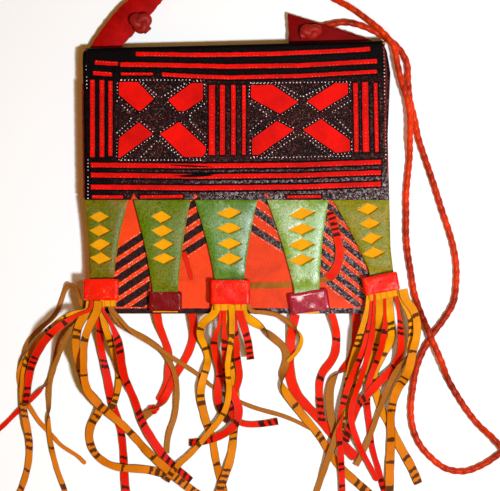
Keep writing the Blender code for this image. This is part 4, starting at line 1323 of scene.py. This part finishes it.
class BAG_OT_facings(Operator):
    """Build the green facings of the tongues, with diamond windows cut through to the yellow leather"""

    bl_idname = "bag.facings"
    bl_label = "Tongue Facings"

    def execute(self, context):
        rng = random.Random(31)
        across = 21
        for number, tongue in enumerate(TONGUES, 1):
            levels = tongue_levels(tongue, (tongue.end_y + 1) * MM)
            corners = []
            for y, left, right, lift in levels:
                left += FACING_MARGIN
                right -= FACING_MARGIN
                fullness = min(1.0, (FLAP_EDGE_Y + 2 * MM - y) / (9 * MM))
                for k in range(across):
                    share = k / (across - 1)
                    swell = sizes().crown * (1 - (2 * share - 1) ** 6) * fullness
                    corners.append((left + (right - left) * share, y,
                                    FACING_LOW + FACING_THICKNESS + lift + (0 if lift > 0 else swell)))
            piece = mesh_object(f"facing_{number}", corners, grid_faces(0, len(levels), across),
                                [material(f"tongue_green_{number}"), material("tongue_rim")])
            add_modifier(piece, "SOLIDIFY", thickness=FACING_THICKNESS, offset=-1)
            apply_modifiers(piece)
            self.cut_windows(piece, number, tongue, rng)
            add_modifier(piece, "BEVEL", width=0.25 * MM, segments=2, limit_method="ANGLE",
                         angle_limit=math.radians(50))
            apply_modifiers(piece)
            smooth(piece, 35)
            settle(piece, FLAP, f"tongue_facing_{number}")
        return {"FINISHED"}

    def cut_windows(self, piece, number, tongue, rng):
        """Cut four diamonds down the middle of a facing, each a little off, as if by hand."""
        for i in range(4):
            share = i / 3
            x = (tongue.window_first[0] * (1 - share) + tongue.window_last[0] * share) * MM
            y = (tongue.window_first[1] * (1 - share) + tongue.window_last[1] * share) * MM
            w = WINDOW_WIDTHS[number - 1] / 2 * rng.uniform(0.96, 1.06)
            h = WINDOW_HEIGHT / 2 * rng.uniform(0.96, 1.1)
            turn = math.radians(rng.uniform(-5, 5) + tongue.turn * 0.4)
            ring = [(-w, 0), (0, -h), (w, 0), (0, h)]
            outline = []
            for k, (px, py) in enumerate(ring):
                qx, qy = ring[(k + 1) % 4]
                outline += [(px + (qx - px) * t, py + (qy - py) * t) for t in (0, 0.5)]
            moved = []
            for px, py in outline:
                px += rng.uniform(-0.25, 0.25) * MM
                py += rng.uniform(-0.2, 0.2) * MM
                moved.append((x + px * math.cos(turn) - py * math.sin(turn),
                              y + px * math.sin(turn) + py * math.cos(turn)))
            shape = bmesh.new()
            add_prism(shape, moved, lambda x, y: FACING_LOW - 0.2 * MM, lambda x, y: FACING_LOW + 4 * MM)
            bmesh.ops.recalc_face_normals(shape, faces=shape.faces)
            cutter = new_object("window_cutter", mesh_of(shape, "window_cutter"), [])
            add_modifier(piece, "BOOLEAN", operation="DIFFERENCE", object=cutter)
            apply_modifiers(piece)
            bpy.data.objects.remove(cutter)


def loop_path(width, height, corner, steps=5):
    """Points and outward normals round a rectangle with rounded corners that stands on zero."""
    w = width / 2
    path = []
    for cx, cy, start in ((w - corner, corner, -90), (w - corner, height - corner, 0),
                          (-w + corner, height - corner, 90), (-w + corner, corner, 180)):
        for i in range(steps + 1):
            angle = math.radians(start + 90 * i / steps)
            normal = (math.cos(angle), math.sin(angle))
            path.append(((cx + corner * normal[0], cy + corner * normal[1]), normal))
    dense = []
    for i, (p, n) in enumerate(path):
        q, m = path[(i + 1) % len(path)]
        length = math.dist(p, q)
        count = max(1, round(length / (1.2 * MM)))
        for k in range(count):
            share = k / count
            dense.append(((p[0] + (q[0] - p[0]) * share, p[1] + (q[1] - p[1]) * share), n if k == 0 else
                          (n[0] * (1 - share) + m[0] * share, n[1] * (1 - share) + m[1] * share)))
    return dense


BAND_FINISH = ("band_red", "band_maroon", "band_red", "band_crimson", "band_red")


class BAG_OT_bands(Operator):
    """Build the glossy leather bands closed round the ends of the tongues"""

    bl_idname = "bag.bands"
    bl_label = "Bands"

    def execute(self, context):
        for number, tongue in enumerate(TONGUES, 1):
            held = FLAP_THICKNESS + FACING_THICKNESS + 3 * GAP
            if tongue.fringe:
                held += HEAD_THICKNESS + GAP
            loop = loop_path(tongue.band_width * MM - 2 * BAND_WALL, held, BAND_CORNER - BAND_WALL)
            half = tongue.band_length * MM / 2
            place = tongue_place(tongue)
            count = 11
            corners = []
            for k in range(count):
                share = -1 + 2 * k / (count - 1)
                edge = max(0.0, (abs(share) - 0.82) / 0.18)
                for (x, z), (nx, nz) in loop:
                    wave = 0.12 * MM * math.sin(x / (2.3 * MM) + number) * math.cos(share * 3)
                    out = BAND_WALL - 0.05 * MM - 0.35 * MM * edge * edge + wave * (1 - edge)
                    y = share * half * (1 + 0.02 * math.sin(x / (3 * MM)))
                    corners.append(place @ Vector((x + nx * out, y, z + BAND_WALL + nz * out)))
            for k in range(count):
                share = 1 - 2 * k / (count - 1)
                corners += [place @ Vector((x, share * half, z + BAND_WALL)) for (x, z), normal in loop]
            faces = ring_faces(0, 2 * count, len(loop), closed=True)
            piece = closed_piece(f"band_leather_{number}", corners, faces, material(BAND_FINISH[number - 1]))
            settle(piece, FLAP, f"band_{number}")
        return {"FINISHED"}


class BAG_OT_heads(Operator):
    """Build the rolled tops of the three fringes, held in their bands"""

    bl_idname = "bag.heads"
    bl_label = "Fringe Heads"

    def execute(self, context):
        folds = 5
        across = folds * 8 + 1
        rows = 15
        for tongue in TONGUES:
            if not tongue.fringe:
                continue
            half = tongue.band_width * MM / 2 - BAND_WALL - HEAD_SIDE_CLEARANCE
            length = tongue.band_length * MM / 2
            place = tongue_place(tongue)
            corners = []
            for r in range(rows):
                y = length - HEAD_TUCK - (2 * length - HEAD_TUCK + HEAD_REACH) * r / (rows - 1)
                for c in range(across):
                    share = c / (across - 1)
                    crease = 1 - abs(math.sin(math.pi * folds * share)) ** 0.3
                    roundness = math.sqrt(max(0.0, 1 - (2 * share - 1) ** 6))
                    z = HEAD_LOW - FLAP_LOW + HEAD_THICKNESS * (0.35 + 0.65 * roundness) - 0.6 * MM * crease
                    corners.append(place @ Vector((-half + 2 * half * share, y, z)))
            piece = mesh_object(f"head_leather_{tongue.fringe}", corners, grid_faces(0, rows, across),
                                [material("fringe_yellow")])
            thicken(piece, 1.4 * MM, bevel=0.2 * MM)
            settle(piece, FLAP, f"fringe_head_{tongue.fringe}")
        return {"FINISHED"}


# Looks of each lace. Its finish: y for yellow, r for red; b for painted bars; f for one that first shows its
# undyed side; h for one that is narrow at its head. Then how wide it looks, as a share of its width, and where
# it turns over, as shares of its length
LACE_LOOKS = {
    "lace_left_1": ("yf", 1.0, (0.5,)), "lace_left_2": ("yb", 0.85, ()),
    "lace_left_3": ("rbh", 1.0, ()), "lace_left_4": ("yfb", 0.6, (0.6,)),
    "lace_left_5": ("rf", 0.62, (0.6,)), "lace_left_6": ("yb", 1.0, ()),
    "lace_left_7": ("yb", 1.0, ()), "lace_left_8": ("rb", 1.0, ()),
    "lace_left_9": ("yb", 0.85, ()), "lace_left_10": ("rbh", 1.0, ()),
    "lace_left_11": ("yfb", 0.7, ()), "lace_left_12": ("yf", 1.0, ()),
    "lace_middle_1": ("yb", 1.0, ()), "lace_middle_2": ("rbh", 1.0, ()),
    "lace_middle_3": ("yb", 1.0, ()), "lace_middle_4": ("rbh", 1.0, ()),
    "lace_middle_5": ("rbh", 0.8, ()), "lace_middle_6": ("yb", 0.75, ()),
    "lace_middle_7": ("rb", 1.0, ()), "lace_middle_8": ("yb", 1.0, (0.16, 0.4)),
    "lace_middle_9": ("yf", 0.55, (0.62,)), "lace_right_1": ("yb", 0.95, ()),
    "lace_right_2": ("yb", 1.08, ()), "lace_right_3": ("yb", 1.08, ()),
    "lace_right_4": ("yb", 0.8, (0.6,)), "lace_right_5": ("rbh", 0.8, ()),
    "lace_right_6": ("rh", 0.75, ()), "lace_right_7": ("rbh", 0.8, ()),
    "lace_right_8": ("rbh", 1.0, ()), "lace_right_9": ("yb", 0.7, (0.35,)),
    "lace_right_10": ("yb", 1.08, ()), "lace_seam_1": ("r", 1.0, ()),
    "lace_seam_2": ("r", 1.0, (0.8,)), "lace_seam_3": ("r", 1.0, ()),
    "lace_seam_4": ("rb", 1.0, ()), "lace_seam_5": ("r", 1.0, (0.5,)),
}


def lace_width(name):
    """Width of a lace: most are alike, two are thin and one is broad."""
    if name in THIN_LACES:
        return LACE_THIN
    if name in BROAD_LACES:
        return LACE_BROAD
    return LACE_WIDTH


def face_and_edge_shade(across, tall, undyed_up):
    """What a corner of a lace's section shows: 0 the dyed side, 1 the undyed side, 2 the cut edge, painted
    dark as shade.
    """
    if abs(across) > CUT_EDGE:
        return 2.0
    if tall > 0:
        return 1.0 if undyed_up or abs(across) > RIM else 0.0
    return 0.0 if undyed_up else 1.0


def lace_bars(length, rng):
    """Where the painted bars of a lace lie along it, as starts and ends, with three near its square end."""
    bars = []
    s = rng.uniform(17, 26) * MM
    while s < length - 3 * MM:
        for k in range(rng.choice((1, 1, 2, 3))):
            wide = rng.uniform(1.6, 2.8) * MM
            bars.append((s, s + wide))
            s += wide + rng.uniform(1.8, 2.6) * MM
        s += rng.uniform(8, 24) * MM
    ends = [length - k * 4.4 * MM for k in range(3)]
    return bars + [(end - 2.2 * MM, end) for end in ends]


def lead_point(name, first, second, lead):
    """Where a lace starts: in its fringe's head, or a little behind its first point at the seam."""
    for tongue in TONGUES:
        if tongue.fringe and tongue.fringe in name:
            foot = tongue_place(tongue) @ Vector((0, -tongue.band_length * MM / 2 - 0.4 * MM, 0))
            x = foot.x + (first.x - foot.x) * 0.9
            return Vector((x, foot.y + (x - foot.x) * math.tan(math.radians(tongue.turn)), first.z))
    back = (first - second).normalized()
    return first + Vector((back.x, back.y, 0)) * lead


def running_length(line):
    """How far along a line of vectors each of them is."""
    along = [0.0]
    for a, b in zip(line, line[1:]):
        along.append(along[-1] + (b - a).length)
    return along


def add_lace(name, points, heights, lead, body):
    """One flat lace: a soft strip with cut edges, painted bars and an undyed side."""
    width = lace_width(name)
    code, look, turns = LACE_LOOKS[name]
    path = [Vector((x, y, h + LACE_THICKNESS / 2)) for (x, y), h in zip(points, heights)]
    path.insert(0, lead_point(name, path[0], path[1], lead))
    along = running_length(path)
    wanted = np.linspace(0, along[-1], max(8, round(along[-1] / LACE_STEP)) + 1)
    line = points_at(wanted, along, np.array(path))
    for k in range(3):
        padded_line = np.concatenate([np.repeat(line[:1, k], 4), line[:, k], np.repeat(line[-1:, k], 4)])
        if k < 2:
            padded_line[:4] = 2 * line[0, k] - line[4:0:-1, k]
            padded_line[-4:] = 2 * line[-1, k] - line[-2:-6:-1, k]
        line[:, k] = np.convolve(padded_line, np.ones(9) / 9, mode="valid")
    piece = build_strip(f"thong_{name}", [Vector(p) for p in line], width * look, code, random.Random(name),
                        turns)
    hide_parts(name)
    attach(piece, body)
    return piece, [tuple(p) for p in line[::4]] + [tuple(line[-1])], width


# Half of a lace's section, as shares of half its width and of half its thickness
SECTION = [(-1.0, -0.55), (-0.93, -1.0), (0.0, -0.85), (0.93, -1.0), (1.0, -0.55), (1.0, 0.55), (0.93, 0.95),
           (0.84, 0.97), (0.45, 0.9), (0.0, 0.85), (-0.45, 0.9), (-0.84, 0.97), (-0.93, 0.95), (-1.0, 0.55)]
# Beyond RIM the top shows the undyed side; beyond CUT_EDGE the edge is painted dark as shade
RIM = 0.9
CUT_EDGE = 0.99
TONE_RUN = 110 * MM
TURN_RUN = 24 * MM


def build_strip(name, line, width, code, rng, turns=()):
    """A soft flat strip along a line of close points, with cut edges, painted bars and an undyed side."""
    wanted = running_length(line)
    length = wanted[-1]
    phase = rng.uniform(0, 2 * math.pi)
    bars = lace_bars(length, rng) if "b" in code else []
    if "t" in code:
        bars = [(k * 3.6 * MM, k * 3.6 * MM + 1.9 * MM) for k in range(5)]
    slant = rng.uniform(-0.35, 0.35)
    half = width / 2
    corners = []
    marks = {"bar": [], "flesh": [], "tone": []}
    first_tone = rng.uniform(0.1, 0.6) if "left" in name else rng.uniform(-0.4, 0.2)
    for i, s in enumerate(wanted):
        ahead = (line[min(i + 1, len(line) - 1)] - line[max(i - 1, 0)]).normalized()
        side = Vector((0, 0, 1)).cross(ahead).normalized()
        up = ahead.cross(side)
        roll = math.radians(9) * math.sin(s / (17 * MM) + phase)
        roll += math.radians(5) * math.sin(s / (7 * MM) + 2 * phase)
        for share in turns:
            roll += math.pi * ease((s - share * length) / TURN_RUN + 0.5)
        lift = half * abs(math.sin(roll)) * 0.8
        turned_side = side * math.cos(roll) + up * math.sin(roll)
        turned_up = up * math.cos(roll) - side * math.sin(roll)
        wide = half * (0.93 + 0.07 * math.sin(s / (11 * MM) + phase) + 0.03 * math.sin(s / (1.9 * MM)))
        if "h" in code:
            wide *= 0.45 + 0.55 * clamp(s / (14 * MM) - 1)
        tip = 1.0 if "b" in code else min(1.0, 0.55 + (length - s) / (2.2 * MM))
        for across, tall in SECTION:
            corners.append(line[i] + turned_side * (across * wide * tip)
                           + turned_up * (tall * LACE_THICKNESS / 2) + Vector((0, 0, lift)))
            place = s + across * half * slant
            marks["bar"].append(1.0 if any(a <= place <= b for a, b in bars) else 0.0)
            # The flesh value 2 marks the cut edge, which is painted dark as shade
            marks["flesh"].append(face_and_edge_shade(across, tall, "f" in code))
            marks["tone"].append(clamp(first_tone + s / TONE_RUN))
    size = len(SECTION)
    faces = end_caps(0, len(line), size) + ring_faces(0, len(line), size)
    piece = closed_piece(name, corners, faces, material("lace_yellow" if code[0] == "y" else "lace_red"))
    for attribute, values in marks.items():
        layer = piece.data.attributes.new(attribute, "FLOAT", "POINT")
        layer.data.foreach_set("value", values)
    return piece


class BAG_OT_laces(Operator):
    """Lay the five laces of the bottom seam and then the three fringes on the flap"""

    bl_idname = "bag.laces"
    bl_label = "Laces"

    def execute(self, context):
        surface = Surface()
        for name, route in SEAM_LACES.items():
            self.lay_lace(surface, name, route, SEAM_LACE_START, 1.2 * MM, POUCH)
        surface.fill(over_bag, FRONT_TOP)
        for name, route in FRINGE_LACES.items():
            self.lay_lace(surface, name, route, HEAD_LOW, 2.4 * MM, FLAP)
        return {"FINISHED"}

    def lay_lace(self, surface, name, route, start, lead, body):
        points, heights = surface.lay(route, lace_width(name) / 2, LACE_THICKNESS, LACE_POINT_STEP,
                                      start=start)
        piece, path, width = add_lace(name, points, heights, lead, body)
        if name == "lace_seam_2":
            knot = add_knot("seam_knot", SEAM_KNOT, SEAM_KNOT_SIZE, 1.2 * MM, material("lace_red"))
            settle(knot, POUCH)


def over_bag(x, y):
    """Whether a place lies over the bag."""
    u = x + BAG_LEAN * y
    return (np.abs(u) <= BAG_WIDTH / 2) & (y >= V_BOTTOM) & (y <= V_TOP)


def tube(line, radius, sides, closed=False, flat=1.0):
    """Corners and faces of a round or flattened tube along a line of points."""
    corners = []
    count = len(line)
    for i, p in enumerate(line):
        before = line[(i - 1) % count] if closed else line[max(i - 1, 0)]
        after = line[(i + 1) % count] if closed else line[min(i + 1, count - 1)]
        ahead = (Vector(after) - Vector(before)).normalized()
        side = Vector((0, 0, 1)).cross(ahead)
        side = side.normalized() if side.length > 1e-6 else Vector((1, 0, 0))
        up = ahead.cross(side)
        for k in range(sides):
            angle = 2 * math.pi * k / sides
            corners.append(Vector(p) + side * (radius * math.cos(angle))
                           + up * (radius * flat * math.sin(angle)))
    return corners, ring_faces(0, count, sides, closed) + ([] if closed else end_caps(0, count, sides))


def add_knot(name, centre, size, radius, finish, tails=()):
    """A thong tied in a tight knot: a trefoil drawn in to the size of the solid it stands for."""
    count = 96
    line = []
    for i in range(count):
        t = 2 * math.pi * i / count
        x = math.sin(t) + 2 * math.sin(2 * t)
        y = math.cos(t) - 2 * math.cos(2 * t)
        z = -math.sin(3 * t)
        line.append((centre[0] + x / 3 * (size[0] / 2 - radius), centre[1] + y / 3 * (size[1] / 2 - radius),
                     centre[2] + z * (size[2] / 2 - radius * 0.8)))
    corners, faces = tube(line, radius, 10, closed=True, flat=0.8)
    for tail in tails:
        add_shape(corners, faces, tube(tail, radius, 10, flat=0.8))
    return closed_piece(name, corners, faces, finish)


BRAID_RADIUS = 1.45 * MM
BRAID_WEAVE = 0.22 * MM
BRAID_CORE = 1.5 * MM
STRAND_WIDTH = 3.1 * MM
STRAND_THICKNESS = 0.9 * MM
BRAID_STEP = 0.7 * MM
# A strand's section, as shares of half its width and of its thickness
STRAND_SECTION = [(-0.9, -0.5), (0.9, -0.5), (1.0, 0.0), (0.6, 0.45), (0.0, 0.6), (-0.6, 0.45), (-1.0, 0.0)]


class BAG_OT_strap(Operator):
    """Braid the strap from four flat thongs along its route, with a knot at each end, and set its two ears"""

    bl_idname = "bag.strap"
    bl_label = "Strap"

    def execute(self, context):
        line = self.route()
        along = distances(line)
        wanted = np.linspace(0, along[-1], round(along[-1] / BRAID_STEP) + 1)
        line = points_at(wanted, along, line)
        centres = [Vector(p) for p in line]
        corners = []
        faces = []
        for strand in range(4):
            self.add_strand(corners, faces, centres, wanted, strand)
        add_shape(corners, faces, tube(centres, BRAID_CORE, 8))
        strap = closed_piece("braided_strap", corners, faces, material("strap_red"))
        settle(strap, POUCH, "strap")
        knots = [self.ear_and_knot("right", EAR_RIGHT, KNOT_RIGHT, KNOT_RIGHT_SIZE),
                 self.ear_and_knot("left", EAR_LEFT, KNOT_LEFT, KNOT_LEFT_SIZE)]
        return {"FINISHED"}

    def add_strand(self, corners, faces, line, wanted, strand):
        """One flat thong of the braid. Two wind one way and two the other, over and under each other."""
        first = len(corners)
        hand = 1 if strand < 2 else -1
        pitch = sizes().braid_pitch
        lean = math.atan2(2 * math.pi * BRAID_RADIUS, pitch) * hand
        for i, s in enumerate(wanted):
            ahead = (line[min(i + 1, len(line) - 1)] - line[max(i - 1, 0)]).normalized()
            side = Vector((0, 0, 1)).cross(ahead).normalized()
            up = ahead.cross(side)
            turn = 2 * math.pi * s / pitch
            angle = hand * turn + math.pi * (strand % 2)
            radius = BRAID_RADIUS + BRAID_WEAVE * hand * math.cos(2 * turn)
            outwards = side * math.cos(angle) + up * math.sin(angle)
            around = up * math.cos(angle) - side * math.sin(angle)
            across = around * math.cos(lean) - ahead * math.sin(lean)
            corners += [line[i] + outwards * (radius + b * STRAND_THICKNESS) + across * (a * STRAND_WIDTH / 2)
                        for a, b in STRAND_SECTION]
        size = len(STRAND_SECTION)
        faces += ring_faces(first, len(line), size) + end_caps(first, len(line), size)

    def route(self):
        """The strap's centreline, laid down to its turn and back up over itself."""
        surface = Surface()
        radius = STRAP_DIAMETER / 2
        down, down_low = surface.lay(STRAP_DOWN, radius, STRAP_DIAMETER, STRAP_POINT_STEP)
        up, up_low = surface.lay([STRAP_DOWN[-1]] + STRAP_UP, radius, STRAP_DIAMETER, STRAP_POINT_STEP)
        up_low[:STRAP_JOIN_POINTS] = down_low[-1]
        points = np.vstack([down, up[1:]])
        heights = np.maximum(np.concatenate([down_low, up_low[1:]]) - LACE_REST + radius, STRAP_CENTRE)
        flat = smooth_route([(x / MM, y / MM) for x, y in points], DENSE_STEP)
        rough = distances(points)
        fine = distances(flat)
        return np.column_stack([flat, np.interp(fine * rough[-1] / fine[-1], rough, heights)])

    def ear_and_knot(self, side, outline, knot, knot_size):
        """One ear of dark red leather and the knot that holds the strap in it."""
        points = [(x * MM, top_edge_y(x * MM) + GAP + up * MM) for x, up in outline]
        points = jittered(points, random.Random(side), step=2.2 * MM, wobble=0.3 * MM)
        shape = bmesh.new()
        face = shape.faces.new([shape.verts.new((x, y, EAR_TOP)) for x, y in points])
        bmesh.ops.recalc_face_normals(shape, faces=[face])
        if face.normal.z < 0:
            face.normal_flip()
        name = f"ear_leather_{side}"
        ear = new_object(name, mesh_of(shape, name),
                         [material("ear_red" if side == "left" else "ear_maroon"), material("raw_edge")])
        thicken(ear, EAR_TOP - EAR_LOW, rim_slot=1, bevel=0.35 * MM)
        settle(ear, POUCH, f"strap_ear_{side}")
        foot = EAR_TOP + GAP
        x = knot[0] * MM
        lean = 3.5 * MM if side == "left" else 0
        centre = (x + lean, knot[1] * MM, foot + KNOT_HEIGHT / 2)
        stem = [(x, centre[1], foot + 1 * MM), (x + 0.01 * MM, centre[1], STRAP_DIAMETER + GAP)]
        end_turn = math.radians(-50 if side == "left" else -160)
        tail = [(centre[0] + math.cos(end_turn) * r * MM, centre[1] + math.sin(end_turn) * r * MM,
                 foot + 1.9 * MM) for r in (2, 4, 6, 7.5)]
        piece = add_knot(f"strap_knot_leather_{side}", centre, (*knot_size, KNOT_HEIGHT), 2.9 * MM,
                         material("knot_red"), tails=[stem, tail])
        settle(piece, POUCH, f"strap_knot_{side}")
        return piece


class BAG_OT_stage(Operator):
    """Set the camera, the lamps, the world and the pale floor that the bag lies on"""

    bl_idname = "bag.stage"
    bl_label = "Camera and Floor"

    def execute(self, context):
        scene = context.scene
        camera = bpy.data.cameras.new("camera")
        camera.sensor_fit = "HORIZONTAL"
        camera.sensor_width = SENSOR_WIDTH
        camera.lens = SENSOR_WIDTH * (CAMERA_HEIGHT - FLAP_TOP) / (IMAGE_SIZE[0] * PIXEL)
        eye = bpy.data.objects.new("camera", camera)
        scene.collection.objects.link(eye)
        eye.location = (*spot(IMAGE_SIZE[0] / 2, IMAGE_SIZE[1] / 2), CAMERA_HEIGHT)
        scene.camera = eye
        key = self.lamp("key_lamp", (0.42, -0.27, 1.2), 0.12, KEY_POWER, (0.86, 1.0, 1.14))
        near = self.lamp("near_lamp", (0.034, -0.038, 0.44), 0.05, NEAR_POWER, (1.0, 1.0, 1.0))
        near.visible_camera = False
        scene.world = self.world()
        scene.view_settings.view_transform = "Standard"
        self.floor(context)
        return {"FINISHED"}

    def floor(self, context):
        """A pale floor, which glows a little to the eye alone and keeps its shadows."""
        bpy.ops.mesh.primitive_plane_add(size=4, location=(0, 0, -0.2 * MM))
        floor = context.active_object
        floor.name = "floor"
        n = Nodes("floor_white", 0.9)
        n.colour(FLOOR_COLOUR)
        path = n.add("ShaderNodeLightPath")
        glow = n.add("ShaderNodeEmission", {"Color": (*GLOW_COLOUR, 1)})
        seen = n.maths("MAXIMUM", path.outputs["Is Camera Ray"], path.outputs["Is Glossy Ray"])
        seen = n.maths("MAXIMUM", seen, path.outputs["Is Transmission Ray"])
        blend = n.add("ShaderNodeMixShader")
        n.feed(n.product(seen, FLOOR_GLOW), blend.inputs["Fac"])
        n.feed(n.shader.outputs["BSDF"], blend.inputs[1])
        n.feed(glow.outputs["Emission"], blend.inputs[2])
        n.feed(blend.outputs["Shader"], n.tree.nodes["Material Output"].inputs["Surface"])
        floor.data.materials.append(n.material)
        return floor

    def world(self):
        """Dim warm light from all round, behind which the camera sees a white backdrop."""
        world = bpy.data.worlds.new("world")
        world.use_nodes = True
        tree = world.node_tree
        around = tree.nodes["Background"]
        around.inputs["Color"].default_value = (*WORLD_COLOUR, 1)
        around.inputs["Strength"].default_value = WORLD_STRENGTH
        backdrop = tree.nodes.new("ShaderNodeBackground")
        backdrop.inputs["Color"].default_value = (1, 1, 1, 1)
        path = tree.nodes.new("ShaderNodeLightPath")
        mixed = tree.nodes.new("ShaderNodeMixShader")
        tree.links.new(path.outputs["Is Camera Ray"], mixed.inputs["Fac"])
        tree.links.new(around.outputs["Background"], mixed.inputs[1])
        tree.links.new(backdrop.outputs["Background"], mixed.inputs[2])
        tree.links.new(mixed.outputs["Shader"], tree.nodes["World Output"].inputs["Surface"])
        return world

    def lamp(self, name, place, size, power, colour):
        """A square lamp aimed at the middle of the bag."""
        data = bpy.data.lights.new(name, "AREA")
        data.energy = power
        data.size = size
        data.color = colour
        light = bpy.data.objects.new(name, data)
        bpy.context.scene.collection.objects.link(light)
        light.location = place
        aim = Vector((0.02, -0.04, 0)) - light.location
        light.rotation_euler = aim.to_track_quat("-Z", "Y").to_euler()
        return light


class BAG_PT_panel(Panel):
    """The bag's pieces, in the order in which they are built"""

    bl_idname = "BAG_PT_panel"
    bl_label = "Leather Bag"
    bl_space_type = "VIEW_3D"
    bl_region_type = "UI"
    bl_category = "Leather Bag"

    def draw(self, context):
        layout = self.layout
        for operator in OPERATORS:
            layout.operator(operator.bl_idname)
        for group in (context.scene.bag_colours, context.scene.bag_sizes):
            for name in group.bl_rna.properties.keys():
                if name not in ("rna_type", "name"):
                    layout.prop(group, name)


OPERATORS = (BAG_OT_stage, BAG_OT_strap, BAG_OT_laces, BAG_OT_pouch, BAG_OT_front, BAG_OT_flap,
             BAG_OT_facings, BAG_OT_bands, BAG_OT_heads)
CLASSES = (BagColours, BagSizes) + OPERATORS + (BAG_PT_panel,)


def register():
    for kind in CLASSES:
        bpy.utils.register_class(kind)
    bpy.types.Scene.bag_colours = PointerProperty(type=BagColours)
    bpy.types.Scene.bag_sizes = PointerProperty(type=BagSizes)


def unregister():
    del bpy.types.Scene.bag_sizes
    del bpy.types.Scene.bag_colours
    for kind in reversed(CLASSES):
        bpy.utils.unregister_class(kind)


def main():
    """Build everything in order."""
    register()
    for operator in OPERATORS:
        group, name = operator.bl_idname.split(".")
        getattr(getattr(bpy.ops, group), name)()


if __name__ == "__main__":
    main()
